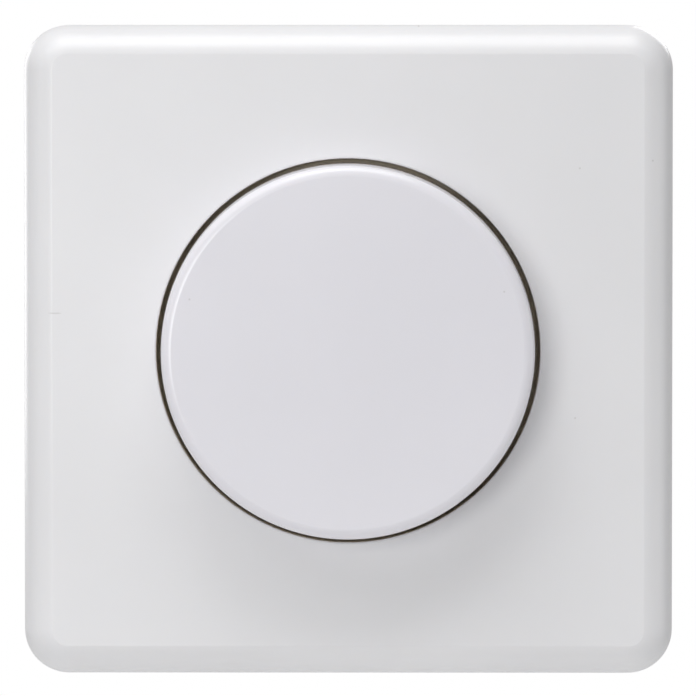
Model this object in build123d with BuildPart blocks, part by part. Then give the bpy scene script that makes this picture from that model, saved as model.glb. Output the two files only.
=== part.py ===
from build123d import *
from math import cos, radians, sin, sqrt, tan
import os

os.makedirs("parts", exist_ok=True)

# Rotary dimmer for a round wall box. Lengths are millimetres and angles are degrees.
# The wall plane is y = 0, the front faces -Y and +Z is up. A height counts forwards from the wall,
# so a negative height lies inside the wall box. The knob's axis is the Y axis.

# Cover plate
plate_side = 80.5
plate_corner = 5.65
plate_wall = 2.0
face_height = 9.5
side_draft = 1.5
border_radius = 4.58
border_crease = 12.0
rim_gap = 0.1
opening_radius = 23.6
opening_edge = 0.25
well_wall = 1.5
well_floor = 1.6
rib_thickness = 1.2
locator_spacing = 40.0
locator_height = 5.5
locator_gap = 0.2

# Knob
knob_gap = 0.5
knob_front = 18.0
knob_base = 7.2
knob_draft = 2.0
knob_edge = 1.55
knob_crease = 12.0
knob_wall = 2.0
knob_face_wall = 2.2
knob_ribs = 6
hub_radius = 5.5
hub_end = 10.8
hub_step = 1.6
press_travel = 2.0

# Support ring
ring_margin = 4.75
ring_clip = 9.0
sheet = 1.0
raise_height = 2.0
screw_circle = 30.0
box_screw_hole = 2.0
slot_width = 3.6
slot_sweep = 30.0
notch_width = 7.0
notch_depth = 1.2
rivet_x = 10.0
rivet_radius = 1.2
rivet_sink = 0.95
rivet_foot = 0.7

# Housing
housing_radius = 26.0
housing_flat = 19.0
housing_wall = 1.6
housing_depth = 22.0
cover_thickness = 1.6
fit_gap = 0.1
seat_gap = 0.4
part_gap = 0.7
post_radius = 1.6
post_low = -9.4
catch_width = 6.0
catch_height = 0.8
partition = 1.0
vent_width = 1.2
vent_length = 9.0
vent_pitch = 2.4
funnel = 0.9

# Shaft, bush and nut
shaft_radius = 3.0
shaft_flat = 1.5
shaft_top = 15.5
shaft_chamfer = 0.5
flat_start = 9.2
bore_gap = 0.05
tail_radius = 2.0
tail_flat = 1.5
tail_chamfer = 0.3
neck = -2.1
bush_radius = 5.0
bush_top = 8.0
flange_radius = 7.0
flange_thickness = 1.2
nut_flats = 14.0
nut_thickness = 2.5
nut_chamfer = 0.6
clip_radius = 4.6
clip_band = 1.0
clip_prong = 1.6
clip_thickness = 0.6
groove_depth = 0.6
groove_front = -1.3

# Potentiometer
pot_radius = 8.5
pot_inner = 6.6
pot_floor = 1.2
track_thickness = 1.0
rotor_thickness = 1.6
rotor_radius = 5.2
stop_reach = 6.2
stop_width = 3.6
lug_width = 4.1
wiper_thickness = 0.25
wiper_radius = 3.9
wiper_reach = 5.3
wiper_arm = 1.4
wiper_finger = 0.7
knob_turn = 270.0
pin_pitch = 2.5
pin_width = 0.8
pin_thickness = 0.5
pin_window = 7.0

# Push switch
switch_side = 12.0
switch_depth = 7.4
switch_wall = 0.8
nose_radius = 2.15
nose_gap = 0.1
plunger_side = 10.0
plunger_play = 1.1
plunger_thickness = 1.5
plunger_post = 1.6
plunger_post_length = 0.9
bridge_thickness = 0.4
bridge_outer = 3.5
bridge_inner = 2.7
bridge_width = 1.8
contact_x = 4.2
contact_width = 1.6
contact_length = 3.0
spring_wire = 0.2
spring_radius = 2.15
spring_turns = 3

# Circuit board, and the leads that pass through it
board_thickness = 1.6
board_rise = 4.4
lead_reach = 2.6
lead_radius = 0.35
tag_thickness = 0.6
hole_gap = 0.12

# Choke, capacitors, triac, fuse and small parts
choke_band = 2.8
choke_height = 6.6
winding = 0.7
winding_grooves = 18
winding_groove = 0.3
capacitor_width = 7.5
capacitor_height = 13.0
capacitor_lead_inset = 1.5
capacitor_corner = 0.6
small_width = 5.4
small_depth = 3.4
small_height = 7.0
small_pitch = 2.5
triac_width = 10.0
triac_tab = 1.3
triac_thickness = 3.2
triac_pitch = 2.54
triac_lead = 0.7
triac_lead_sink = 1.4
stake_radius = 1.5
stake_head = 0.6
fuse_low_gap = 0.8
fuse_high_gap = 1.25
fuse_cap = 2.6
fuse_glass = 2.4
fuse_glass_wall = 0.5
cap_length = 5.0
cap_overlap = 0.4
clip_sheet = 0.5
clip_length = 3.6
resistor_radius = 1.15
resistor_length = 6.3
resistor_low = -6.6
resistor_span = 10.2
diac_radius = 0.95
diac_length = 4.2
diac_low = 5.2
diac_span = 7.6

# Terminals
terminal_pitch = 10.0
cage_half_width = 3.4
cage_depth = 6.8
cage_wall = 0.8
entry_side = 3.4
terminal_screw_radius = 1.4
terminal_head = 1.9
terminal_head_length = 1.5
tag_width = 2.0

# Claws
pivot_height = -1.4
pivot_radius = 1.0
pivot_gap = 0.08
ear_radius = 1.8
ear_thickness = 1.0
claw_sheet = 1.2
claw_half_width = 6.0
claw_reach = 6.0
tab_slope = 31.5
leg_end = -19.0
tooth = 0.9
tooth_pitch = 1.5
claw_screw_reach = 3.2
claw_screw_radius = 1.7
claw_screw_head = 2.8
claw_head_height = 1.4
claw_screw_end = -15.0
driver_slot = 0.8


def at(height):
    """Drawing plane parallel to the wall, at a height: its x is +X and its y is +Z."""
    return Plane.XZ.offset(height)


def side_view(z, x=0.0):
    """Drawing plane square to the wall at a level z: its x is +X and its y is the height."""
    return Plane(origin=(x, 0, z), x_dir=(1, 0, 0), z_dir=(0, 0, -1))


def barrel(radius, flat):
    """Round outline with two flat sides, as the first shape of the open sketch."""
    Circle(radius)
    Rectangle(2 * flat, 2 * radius, mode=Mode.INTERSECT)


def d_outline(radius, flat):
    """Round outline with one flat on its upper side, as the first shape of the open sketch."""
    Circle(radius)
    with Locations((0, flat + radius)):
        Rectangle(2 * radius, 2 * radius, mode=Mode.SUBTRACT)


def block(x, z, width, depth, rear, front, mode=Mode.ADD):
    """Square block in the open part: centred at x and z, from one height to another."""
    with Locations((x, -(rear + front) / 2, z)):
        Box(width, front - rear, depth, mode=mode)


def pegs(points, radius, rear, front, mode=Mode.ADD):
    """Round pegs or holes in the open part, at points (x, z), from one height to another."""
    with Locations(*[(x, -(rear + front) / 2, z) for x, z in points]):
        Cylinder(radius, front - rear, rotation=(90, 0, 0), mode=mode)


def upright(x, height, radius, low, high, mode=Mode.ADD):
    """Round bar or hole along Z in the open part, from one level to another."""
    with Locations((x, -height, (low + high) / 2)):
        Cylinder(radius, high - low, mode=mode)


def save(piece, name):
    """Label a finished piece and write it out."""
    piece.part.label = name
    export_step(piece.part, f"parts/{name}.step")


# Heights and radii that several pieces share
ring_side = plate_side - 2 * ring_margin
raised_front = raise_height + sheet
well_front = raised_front + well_floor
nut_front = well_front + nut_thickness
knob_radius = opening_radius - knob_gap
inner_radius = housing_radius - housing_wall
inner_flat = housing_flat - housing_wall
cover_front = cover_thickness - housing_depth
board_front = cover_front + board_rise
board_rear = board_front - board_thickness
lead_end = board_front - lead_reach
pot_depth = -board_front - switch_depth
tail_end = tail_chamfer - pot_depth
groove_rear = groove_front - clip_thickness
groove_radius = shaft_radius - groove_depth
track_front = pot_floor + track_thickness - pot_depth
rotor_rear = track_front + bore_gap + wiper_thickness
rotor_front = rotor_rear + rotor_thickness

# Places inside the housing, worked out from its walls
rivet_z = sqrt((inner_radius - rivet_radius - 0.93) ** 2 - rivet_x**2)
rivet_points = [(x, z) for x in (-rivet_x, rivet_x) for z in (-rivet_z, rivet_z)]
post_x = inner_flat - post_radius - seat_gap
post_high = sqrt((inner_radius - post_radius - part_gap) ** 2 - post_x**2)
post_points = [(x, z) for x in (-post_x, post_x) for z in (post_low, post_high)]
tab_low = seat_gap - sqrt(inner_radius**2 - (triac_width / 2) ** 2)
tab_high = -pot_radius - 3 * part_gap
stake_z = tab_low + stake_radius + part_gap

# Terminals fill the room between the potentiometer and the housing's wall
cage_top = tab_high - 1.8
cage_bottom = 1.8 - sqrt(inner_radius**2 - (terminal_pitch + cage_half_width) ** 2)
cage_rear = cover_front + 0.2
cage_front = cage_rear + cage_depth
terminal_x = [-terminal_pitch, 0.0, terminal_pitch]
terminal_screw_height = cage_rear + cage_depth / 2 - 0.2
entry_z = cage_top - cage_wall - entry_side / 2 - 0.3
board_cut = cage_top + cage_wall
tag_z = cage_top + 1.8

# Claw pivots and screws stand beside the housing's flats
pivot_x = housing_flat + ear_radius + 0.6
leg_x = pivot_x + claw_reach
claw_screw_x = pivot_x + claw_screw_reach


# Cover plate: one moulding with a curved border that meets the flat face at a slight crease. A round
# well behind the opening has a floor that the fixing nut clamps against the support ring.

border_rise = border_radius * (1 - cos(radians(border_crease)))
roof = face_height - plate_wall

with BuildPart() as plate_hollow:
    with BuildSketch(at(rim_gap)):
        RectangleRounded(plate_side - 2 * plate_wall, plate_side - 2 * plate_wall, plate_corner - plate_wall)
    extrude(amount=roof - rim_gap, taper=side_draft)
    fillet(plate_hollow.faces().sort_by(Axis.Y)[0].edges(), border_radius - plate_wall)

with BuildPart() as cover_plate:
    with BuildSketch(at(rim_gap)):
        RectangleRounded(plate_side, plate_side, plate_corner)
    extrude(amount=face_height + border_rise - rim_gap, taper=side_draft)
    fillet(cover_plate.faces().sort_by(Axis.Y)[0].edges(), border_radius)
    split(bisect_by=at(face_height), keep=Keep.BOTTOM)
    add(plate_hollow.part, mode=Mode.SUBTRACT)

    # Four diagonal ribs stiffen the face between the well and the corners
    rib_start = opening_radius + well_wall / 2
    rib_end = sqrt(2) * (plate_side / 2 - plate_corner) + plate_corner - 0.85 * plate_wall
    rib_bottom = raised_front + fit_gap
    with BuildSketch(at(rib_bottom)):
        with PolarLocations((rib_start + rib_end) / 2, 4, start_angle=45):
            Rectangle(rib_end - rib_start, rib_thickness)
    extrude(amount=roof + plate_wall / 2 - rib_bottom)

    # Eight short ribs on the inner sides hold the plate square on the support ring
    locator_inner = ring_side / 2 + locator_gap
    locator_outer = plate_side / 2 - 0.8 * plate_wall
    locator_mid = (locator_inner + locator_outer) / 2
    locator_length = locator_outer - locator_inner
    locator_pairs = [(s * locator_mid, t * locator_spacing / 2) for s in (-1, 1) for t in (-1, 1)]
    with BuildSketch(at(rim_gap + seat_gap)):
        with Locations(*locator_pairs):
            Rectangle(locator_length, rib_thickness)
        with Locations(*[(b, a) for a, b in locator_pairs]):
            Rectangle(rib_thickness, locator_length)
    extrude(amount=locator_height)

    # The well
    with BuildSketch(at(raised_front)):
        Circle(opening_radius + well_wall)
    extrude(amount=face_height - plate_wall / 2 - raised_front)
    pegs([(0, 0)], opening_radius, well_front, face_height, Mode.SUBTRACT)
    pegs([(0, 0)], bush_radius + 2 * fit_gap, raised_front, well_front, Mode.SUBTRACT)
    opening_rim = [
        e
        for e in cover_plate.edges().filter_by(GeomType.CIRCLE)
        if abs(e.radius - opening_radius) < 0.01 and abs(e.center().Y + face_height) < 0.01
    ]
    fillet(opening_rim, opening_edge)
save(cover_plate, "cover_plate")


# Knob: a shallow cap with a drafted side wall and a rounded front edge that meets the flat face at a
# slight crease. Its hub is pressed on the flat of the shaft.

edge_height = knob_front - knob_edge * cos(radians(knob_crease))
lean = sin(radians(knob_draft))
edge_radius = knob_radius - (knob_edge + (edge_height - knob_base) * lean) / cos(radians(knob_draft))
face_radius = edge_radius + knob_edge * sin(radians(knob_crease))
side_top = (edge_radius + knob_edge * cos(radians(knob_draft)), edge_height + knob_edge * lean)
cap_ceiling = knob_front - knob_face_wall
ceiling_radius = knob_radius - knob_wall - (cap_ceiling - knob_base) * tan(radians(knob_draft))

with BuildPart() as knob:
    with BuildSketch(side_view(0)):
        with BuildLine():
            Polyline((0, knob_front), (face_radius, knob_front))
            CenterArc((edge_radius, edge_height), knob_edge, knob_draft, 90 - knob_crease - knob_draft)
            Polyline(
                side_top,
                (knob_radius, knob_base),
                (knob_radius - knob_wall, knob_base),
                (ceiling_radius, cap_ceiling),
                (0, cap_ceiling),
                (0, knob_front),
            )
        make_face()
    revolve(axis=Axis.Y)

    # Hub with six ribs out to the side wall
    root = knob_face_wall / 4
    pegs([(0, 0)], hub_radius, hub_end, cap_ceiling + root)
    rib_inner = hub_radius - root
    rib_outer = ceiling_radius + root
    with BuildSketch(at(hub_end + hub_step)):
        with PolarLocations((rib_inner + rib_outer) / 2, knob_ribs, start_angle=180 / knob_ribs):
            Rectangle(rib_outer - rib_inner, rib_thickness)
    extrude(amount=cap_ceiling + root - hub_end - hub_step)

    # Blind hole that fits the shaft and its flat
    with BuildSketch(at(hub_end)):
        d_outline(shaft_radius, shaft_flat)
    extrude(amount=shaft_top + 2 * fit_gap - hub_end, mode=Mode.SUBTRACT)
save(knob, "knob")


# Shaft: turned bar with a flat at the front for the knob, a groove for the clip just behind the bush,
# and a thinner flatted tail that turns the rotor, slides through it and pushes the switch.

with BuildPart() as shaft:
    with BuildSketch(side_view(0)):
        with BuildLine():
            Polyline(
                (0, tail_end),
                (tail_radius - tail_chamfer, tail_end),
                (tail_radius, tail_end + tail_chamfer),
                (tail_radius, neck),
                (shaft_radius, neck),
                (shaft_radius, groove_rear),
                (groove_radius, groove_rear),
                (groove_radius, groove_front),
                (shaft_radius, groove_front),
                (shaft_radius, shaft_top - shaft_chamfer),
                (shaft_radius - shaft_chamfer, shaft_top),
                (0, shaft_top),
                close=True,
            )
        make_face()
    revolve(axis=Axis.Y)
    block(0, shaft_flat + shaft_radius, 2 * shaft_radius, 2 * shaft_radius, flat_start, shaft_top, Mode.SUBTRACT)
    block(0, tail_flat + tail_radius, 2 * tail_radius, 2 * tail_radius, tail_end, neck, Mode.SUBTRACT)
save(shaft, "shaft")


# Shaft clip: sprung ring with three inward prongs, pushed into the groove from below. At rest it
# stops the shaft against the back of the bush.

prong_reach = clip_radius - clip_band / 2 - groove_radius

with BuildPart() as shaft_clip:
    with BuildSketch(at(groove_rear)):
        Circle(clip_radius)
        Circle(clip_radius - clip_band, mode=Mode.SUBTRACT)
        with PolarLocations(groove_radius + prong_reach / 2, 3, start_angle=-30):
            Rectangle(prong_reach, clip_prong)
        with Locations((0, -clip_radius)):
            Rectangle(2 * groove_radius, 2 * (clip_radius - clip_band), mode=Mode.SUBTRACT)
        Circle(groove_radius, mode=Mode.SUBTRACT)
    extrude(amount=clip_thickness)
save(shaft_clip, "shaft_clip")


# Threaded bush: carries the shaft. Its flange sits behind the housing, and the neck passes through
# the housing, the support ring and the floor of the cover plate's well.

with BuildPart() as threaded_bush:
    with BuildSketch(side_view(0)):
        with BuildLine():
            Polyline(
                (shaft_radius + bore_gap, -flange_thickness),
                (flange_radius, -flange_thickness),
                (flange_radius, 0),
                (bush_radius, 0),
                (bush_radius, bush_top - shaft_chamfer),
                (bush_radius - shaft_chamfer, bush_top),
                (shaft_radius + bore_gap, bush_top),
                close=True,
            )
        make_face()
    revolve(axis=Axis.Y)
save(threaded_bush, "threaded_bush")


# Fixing nut: thin hexagon nut with its front corners turned off

with BuildPart() as fixing_nut:
    with BuildSketch(at(well_front)):
        RegularPolygon(nut_flats / 2, 6, major_radius=False)
        Circle(bush_radius, mode=Mode.SUBTRACT)
    extrude(amount=nut_thickness)
    with BuildSketch(side_view(0)):
        with BuildLine():
            Polyline(
                (0, well_front),
                (nut_flats / 2 + 2 * nut_chamfer, well_front),
                (nut_flats / 2 + 2 * nut_chamfer, nut_front - nut_chamfer),
                (nut_flats / 2, nut_front),
                (0, nut_front),
                close=True,
            )
        make_face()
    revolve(axis=Axis.Y, mode=Mode.INTERSECT)
save(fixing_nut, "fixing_nut")


# Support ring: stamped steel sheet on the wall, with a raised centre that the housing sits in. Round
# holes at top and bottom and curved slots at the sides take the wall box's own screws.

ear_middle = claw_half_width + ear_thickness / 2 + seat_gap

with BuildPart() as support_ring:
    with BuildSketch(at(0)) as ring_outline:
        Rectangle(ring_side, ring_side)
        chamfer(ring_outline.vertices(), ring_clip)
        with Locations(*[(s * ring_side / 2, 0) for s in (-1, 1)]):
            Rectangle(2 * notch_depth, notch_width, mode=Mode.SUBTRACT)
        with Locations(*[(0, s * ring_side / 2) for s in (-1, 1)]):
            Rectangle(notch_width, 2 * notch_depth, mode=Mode.SUBTRACT)
    extrude(amount=sheet)
    with BuildSketch(at(0)):
        barrel(housing_radius + seat_gap + sheet, housing_flat + seat_gap + sheet)
    extrude(amount=raised_front)
    with BuildSketch(at(0)):
        barrel(housing_radius + seat_gap, housing_flat + seat_gap)
    extrude(amount=raise_height, mode=Mode.SUBTRACT)

    # Ears bent back from the sheet carry the pivots of the two claws
    for z in (ear_middle, -ear_middle):
        with BuildSketch(side_view(z)):
            with Locations(*[(s * pivot_x, pivot_height / 2) for s in (-1, 1)]):
                Rectangle(2 * ear_radius, -pivot_height)
            with Locations((-pivot_x, pivot_height), (pivot_x, pivot_height)):
                Circle(ear_radius)
                Circle(pivot_radius + pivot_gap, mode=Mode.SUBTRACT)
        extrude(amount=ear_thickness / 2, both=True)

    # Holes
    pegs([(0, 0)], bush_radius + 1.5 * fit_gap, raise_height, raised_front, Mode.SUBTRACT)
    pegs([(0, screw_circle), (0, -screw_circle)], box_screw_hole, 0, sheet, Mode.SUBTRACT)
    claw_screw_holes = [(claw_screw_x, 0), (-claw_screw_x, 0)]
    pegs(claw_screw_holes, claw_screw_radius + 3 * fit_gap, 0, sheet, Mode.SUBTRACT)
    with BuildSketch(at(0)):
        for start in (0, 180):
            SlotArc(
                CenterArc((0, 0), screw_circle, start - slot_sweep / 2, slot_sweep, mode=Mode.PRIVATE),
                slot_width,
            )
    extrude(amount=sheet, mode=Mode.SUBTRACT)
    pegs(rivet_points, rivet_radius, raise_height, raised_front, Mode.SUBTRACT)
    for x, z in rivet_points:
        with BuildSketch(side_view(z, x)):
            with BuildLine():
                Polyline(
                    (0, raised_front - rivet_sink),
                    (rivet_radius, raised_front - rivet_sink),
                    (rivet_radius + rivet_sink, raised_front),
                    (0, raised_front),
                    close=True,
                )
            make_face()
        revolve(axis=Axis((x, 0, z), (0, 1, 0)), mode=Mode.SUBTRACT)
save(support_ring, "support_ring")


# Ring rivets: countersunk in front and spread flat behind the housing's front wall

for number, (x, z) in enumerate(rivet_points, start=1):
    with BuildPart() as rivet:
        with BuildSketch(side_view(z, x)):
            with BuildLine():
                Polyline(
                    (0, -rivet_foot),
                    (rivet_radius + 0.85 * rivet_foot, -rivet_foot),
                    (rivet_radius + 1.1 * rivet_foot, 0),
                    (rivet_radius, 0),
                    (rivet_radius, raised_front - rivet_sink),
                    (rivet_radius + rivet_sink, raised_front),
                    (0, raised_front),
                    close=True,
                )
            make_face()
        revolve(axis=Axis((x, 0, z), (0, 1, 0)))
    save(rivet, f"ring_rivet_{number}")


# Housing: deep moulding, open at the back, with posts for the circuit board, walls between the
# terminals, windows for the rear cover's catches and openings for the terminal screws.

catch_middle = cover_front - cover_thickness / 2
catch_points = [-catch_width, 1.5 * catch_width]

with BuildPart() as housing:
    with BuildSketch(at(-housing_depth)):
        barrel(housing_radius, housing_flat)
    extrude(amount=housing_depth + raise_height)
    with BuildSketch(at(-housing_depth)):
        barrel(inner_radius, inner_flat)
    extrude(amount=housing_depth, mode=Mode.SUBTRACT)
    pegs(post_points, post_radius, board_front, 0)
    pegs([(0, stake_z)], stake_radius, -triac_tab - stake_head, 0)
    for x in (-terminal_pitch / 2, terminal_pitch / 2):
        wall_end = sqrt(inner_radius**2 - x**2) + housing_wall / 3
        block(x, (cage_top - wall_end) / 2, partition, wall_end + cage_top, cover_front, cage_front + partition)
    for x in (-inner_flat - housing_wall / 2, inner_flat + housing_wall / 2):
        for z in catch_points:
            window_rear = catch_middle - catch_height / 2 - fit_gap
            window_front = catch_middle + catch_height / 2 + fit_gap
            block(x, z, housing_wall, catch_width + seat_gap, window_rear, window_front, Mode.SUBTRACT)
    for x in terminal_x:
        upright(x, terminal_screw_height, terminal_head + seat_gap, -housing_radius, cage_bottom, Mode.SUBTRACT)
    pegs([(0, 0)], bush_radius + fit_gap, 0, raise_height, Mode.SUBTRACT)
    pegs(rivet_points, rivet_radius, 0, raise_height, Mode.SUBTRACT)
save(housing, "housing")


# Rear cover: closes the housing. It has a square entry for each wire, a row of vents, and four posts
# that hold the circuit board against the housing's own posts.

with BuildPart() as rear_cover:
    with BuildSketch(at(-housing_depth)):
        barrel(inner_radius - fit_gap, inner_flat - fit_gap)
    extrude(amount=cover_thickness)
    pegs(post_points, post_radius - 2 * fit_gap, cover_front, board_rear)
    for z in catch_points:
        rear = catch_middle - catch_height / 2
        block(0, z, 2 * (inner_flat + housing_wall / 2), catch_width, rear, rear + catch_height)
    with BuildSketch(at(-housing_depth)):
        with Locations(*[(x, entry_z) for x in terminal_x]):
            Rectangle(entry_side + 2 * funnel, entry_side + 2 * funnel)
    extrude(amount=funnel, taper=45, mode=Mode.SUBTRACT)
    with BuildSketch(at(-housing_depth)):
        with Locations(*[(x, entry_z) for x in terminal_x]):
            Rectangle(entry_side, entry_side)
        with Locations((0, vent_length - 1)):
            with GridLocations(vent_pitch, 0, 5, 1):
                SlotOverall(vent_length, vent_width, rotation=90)
    extrude(amount=cover_thickness, mode=Mode.SUBTRACT)
save(rear_cover, "rear_cover")


# Claws: bent sheet levers on the ring's ears. A tab slopes back from the pivot to a toothed leg, and
# the claw screw passes through a slot in the tab and pulls it forwards, which swings the leg outwards.

tab_length = (leg_x - pivot_x) / cos(radians(tab_slope))
bend_height = pivot_height - tab_length * sin(radians(tab_slope))
screw_span = claw_screw_radius / cos(radians(tab_slope)) + claw_sheet / 2 * tan(radians(tab_slope)) + 3 * fit_gap
screw_place = (claw_screw_x - pivot_x) / cos(radians(tab_slope))
trunnion_end = ear_middle + ear_thickness / 2 + 3 * fit_gap

for name, side in (("left", -1), ("right", 1)):
    with BuildPart() as claw:
        with BuildSketch(side_view(0)):
            with Locations((side * (pivot_x + leg_x) / 2, (pivot_height + bend_height) / 2)):
                Rectangle(tab_length, claw_sheet, rotation=-side * tab_slope)
            with Locations((side * leg_x, bend_height)):
                Circle(claw_sheet / 2)
            with Locations((side * leg_x, (bend_height + leg_end) / 2)):
                Rectangle(claw_sheet, bend_height - leg_end)
            for step in range(3):
                with BuildLine():
                    low = leg_end + tooth_pitch * step
                    high = low + 0.87 * tooth_pitch
                    outside = side * (leg_x + claw_sheet / 2)
                    Polyline(
                        (outside - side * fit_gap, low),
                        (outside, low),
                        (outside + side * tooth, low + 0.6 * tooth_pitch),
                        (outside, high),
                        (outside - side * fit_gap, high),
                        close=True,
                    )
                make_face()
        extrude(amount=claw_half_width, both=True)
        with BuildSketch(side_view(0)):
            with Locations((side * pivot_x, pivot_height)):
                Circle(pivot_radius)
        extrude(amount=trunnion_end, both=True)
        slot_x = side * (pivot_x + screw_place * cos(radians(tab_slope)))
        slot_height = pivot_height - screw_place * sin(radians(tab_slope))
        with BuildSketch(side_view(0)):
            with Locations((slot_x, slot_height)):
                Rectangle(2 * screw_span, 2.5 * claw_sheet, rotation=-side * tab_slope)
        extrude(amount=claw_screw_radius + seat_gap, both=True, mode=Mode.SUBTRACT)
    save(claw, f"claw_{name}")

    with BuildPart() as claw_screw:
        head_rear = sheet + bore_gap
        head_front = head_rear + claw_head_height
        with BuildSketch(side_view(0, side * claw_screw_x)):
            with BuildLine():
                Polyline(
                    (0, claw_screw_end),
                    (claw_screw_radius - 0.6, claw_screw_end),
                    (claw_screw_radius, claw_screw_end + 0.6),
                    (claw_screw_radius, head_rear),
                    (claw_screw_head, head_rear),
                    (claw_screw_head, head_front - 0.3 * claw_head_height),
                    (claw_screw_head - 0.3 * claw_head_height, head_front),
                    (0, head_front),
                    close=True,
                )
            make_face()
        revolve(axis=Axis((side * claw_screw_x, 0, 0), (0, 1, 0)))
        slot_floor = head_front - claw_head_height / 2
        block(side * claw_screw_x, 0, 2.2 * claw_screw_head, driver_slot, slot_floor, head_front, Mode.SUBTRACT)
    save(claw_screw, f"claw_screw_{name}")


# Potentiometer: a cup behind the bush with the track on its floor and a lug that limits the turn

pin_window_front = track_front - track_thickness / 4
pin_z = pot_radius + pin_thickness
pin_end = pin_z + tag_thickness / 2

with BuildPart() as pot_case:
    pegs([(0, 0)], pot_radius, -pot_depth, 0)
    pegs([(0, 0)], flange_radius + bore_gap, -flange_thickness, 0, Mode.SUBTRACT)
    pegs([(0, 0)], pot_inner, pot_floor - pot_depth, -flange_thickness, Mode.SUBTRACT)
    lug_reach = rotor_radius + seat_gap
    lug_depth = pot_inner + seat_gap - lug_reach
    block(0, -lug_reach - lug_depth / 2, lug_width, lug_depth, rotor_rear - fit_gap, rotor_front + 2 * fit_gap)
    pegs([(0, 0)], tail_radius + 3 * fit_gap, -pot_depth, pot_floor - pot_depth, Mode.SUBTRACT)
    window_depth = 2 * (pot_radius - pot_inner)
    block(0, pot_radius - 0.5, pin_window, window_depth, pot_floor - pot_depth, pin_window_front, Mode.SUBTRACT)
save(pot_case, "pot_case")

with BuildPart() as pot_track:
    with BuildSketch(at(pot_floor - pot_depth)):
        Circle(pot_inner - fit_gap)
        Circle(tail_radius + nose_gap + seat_gap, mode=Mode.SUBTRACT)
    extrude(amount=track_thickness)
save(pot_track, "pot_track")

# Rotor: turned by the flat of the shaft's tail. At rest its stop tab lies to the lower left of the lug
with BuildPart() as pot_rotor:
    tab_inner = rotor_radius - stop_width / 6
    with BuildSketch(at(rotor_rear)):
        Circle(rotor_radius)
        with PolarLocations((tab_inner + stop_reach) / 2, 1, start_angle=270 - (360 - knob_turn) / 2):
            Rectangle(stop_reach - tab_inner, stop_width)
    extrude(amount=rotor_thickness)
    with BuildSketch(at(rotor_rear)):
        d_outline(tail_radius + bore_gap, tail_flat + bore_gap)
    extrude(amount=rotor_thickness, mode=Mode.SUBTRACT)
save(pot_rotor, "pot_rotor")

with BuildPart() as pot_wiper:
    with BuildSketch(at(rotor_rear - wiper_thickness)):
        finger_x = (wiper_arm + wiper_finger) / 2 + 2.5 * fit_gap
        finger_root = wiper_radius - wiper_finger
        Circle(wiper_radius)
        with Locations((0, (finger_root + wiper_reach) / 2)):
            Rectangle(wiper_arm, wiper_reach - finger_root)
        with Locations((-finger_x, (finger_root + wiper_reach) / 2), (finger_x, (finger_root + wiper_reach) / 2)):
            Rectangle(wiper_finger, wiper_reach - finger_root - seat_gap)
        Circle(tail_radius + 2.5 * seat_gap, mode=Mode.SUBTRACT)
    extrude(amount=wiper_thickness)
save(pot_wiper, "pot_wiper")

pin_front = pin_window_front - bore_gap
for name, x in (("left", -pin_pitch), ("middle", 0.0), ("right", pin_pitch)):
    with BuildPart() as pot_pin:
        inner_end = pot_inner - fit_gap
        pin_mid = (inner_end + pin_end) / 2
        block(x, pin_mid, pin_width, pin_end - inner_end, pin_front - pin_thickness, pin_front)
        block(x, pin_z, pin_width, tag_thickness, lead_end, pin_front)
    save(pot_pin, f"pot_pin_{name}")


# Push switch: a square case with a sprung plunger. The nose fills the hole behind the shaft's tail

switch_front = -pot_depth
cavity_front = switch_front - switch_wall
cavity_rear = board_front + switch_wall
plunger_front = cavity_front - plunger_play
plunger_rear = plunger_front - plunger_thickness
post_end = plunger_rear - plunger_post_length
contact_front = cavity_rear + bridge_thickness

with BuildPart() as switch_case:
    block(0, 0, switch_side, switch_side, board_front, switch_front)
    block(0, 0, switch_side - 2 * switch_wall, switch_side - 2 * switch_wall, cavity_rear, cavity_front, Mode.SUBTRACT)
    pegs([(0, 0)], nose_radius + nose_gap, cavity_front, switch_front, Mode.SUBTRACT)
    for x in (-contact_x, contact_x):
        block(x, 0, pin_width, tag_thickness, board_front, cavity_rear, Mode.SUBTRACT)
save(switch_case, "switch_case")

with BuildPart() as switch_plunger:
    block(0, 0, plunger_side, plunger_side, plunger_rear, plunger_front)
    pegs([(0, 0)], nose_radius, plunger_front, tail_end - bore_gap)
    pegs([(0, 0)], plunger_post, post_end, plunger_rear)
save(switch_plunger, "switch_plunger")

with BuildPart() as contact_bridge:
    with BuildSketch(at(plunger_rear - bridge_thickness)):
        Circle(bridge_outer)
        Rectangle(2 * contact_x + 0.75 * contact_width, bridge_width)
        Circle(bridge_inner, mode=Mode.SUBTRACT)
    extrude(amount=bridge_thickness)
save(contact_bridge, "contact_bridge")

with BuildPart() as switch_spring:
    spring_start = -cavity_rear - spring_wire
    spring_length = plunger_rear - cavity_rear - 2 * spring_wire
    with BuildLine() as spring_line:
        pitch = spring_length / spring_turns
        Helix(pitch, spring_length, spring_radius, center=(0, spring_start, 0), direction=(0, -1, 0))
    with BuildSketch(Plane(spring_line.line @ 0, z_dir=spring_line.line % 0)):
        Circle(spring_wire)
    sweep(is_frenet=True)
save(switch_spring, "switch_spring")

for name, x in (("left", -contact_x), ("right", contact_x)):
    with BuildPart() as switch_contact:
        block(x, 0, contact_width, contact_length, cavity_rear, contact_front)
        block(x, 0, pin_width, tag_thickness, lead_end, cavity_rear)
    save(switch_contact, f"switch_contact_{name}")


# Components on the board. Each keeps its own size and the places of its leads

choke_outer = (inner_radius - pin_end) / 2 - winding - 1.05 * part_gap
choke_hole = choke_outer - choke_band
choke_z = inner_radius - part_gap - winding - choke_outer
choke_lead = (choke_outer + choke_hole) / sqrt(8)
choke_leads = [(x, choke_z - choke_lead) for x in (-choke_lead, choke_lead)]

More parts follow.
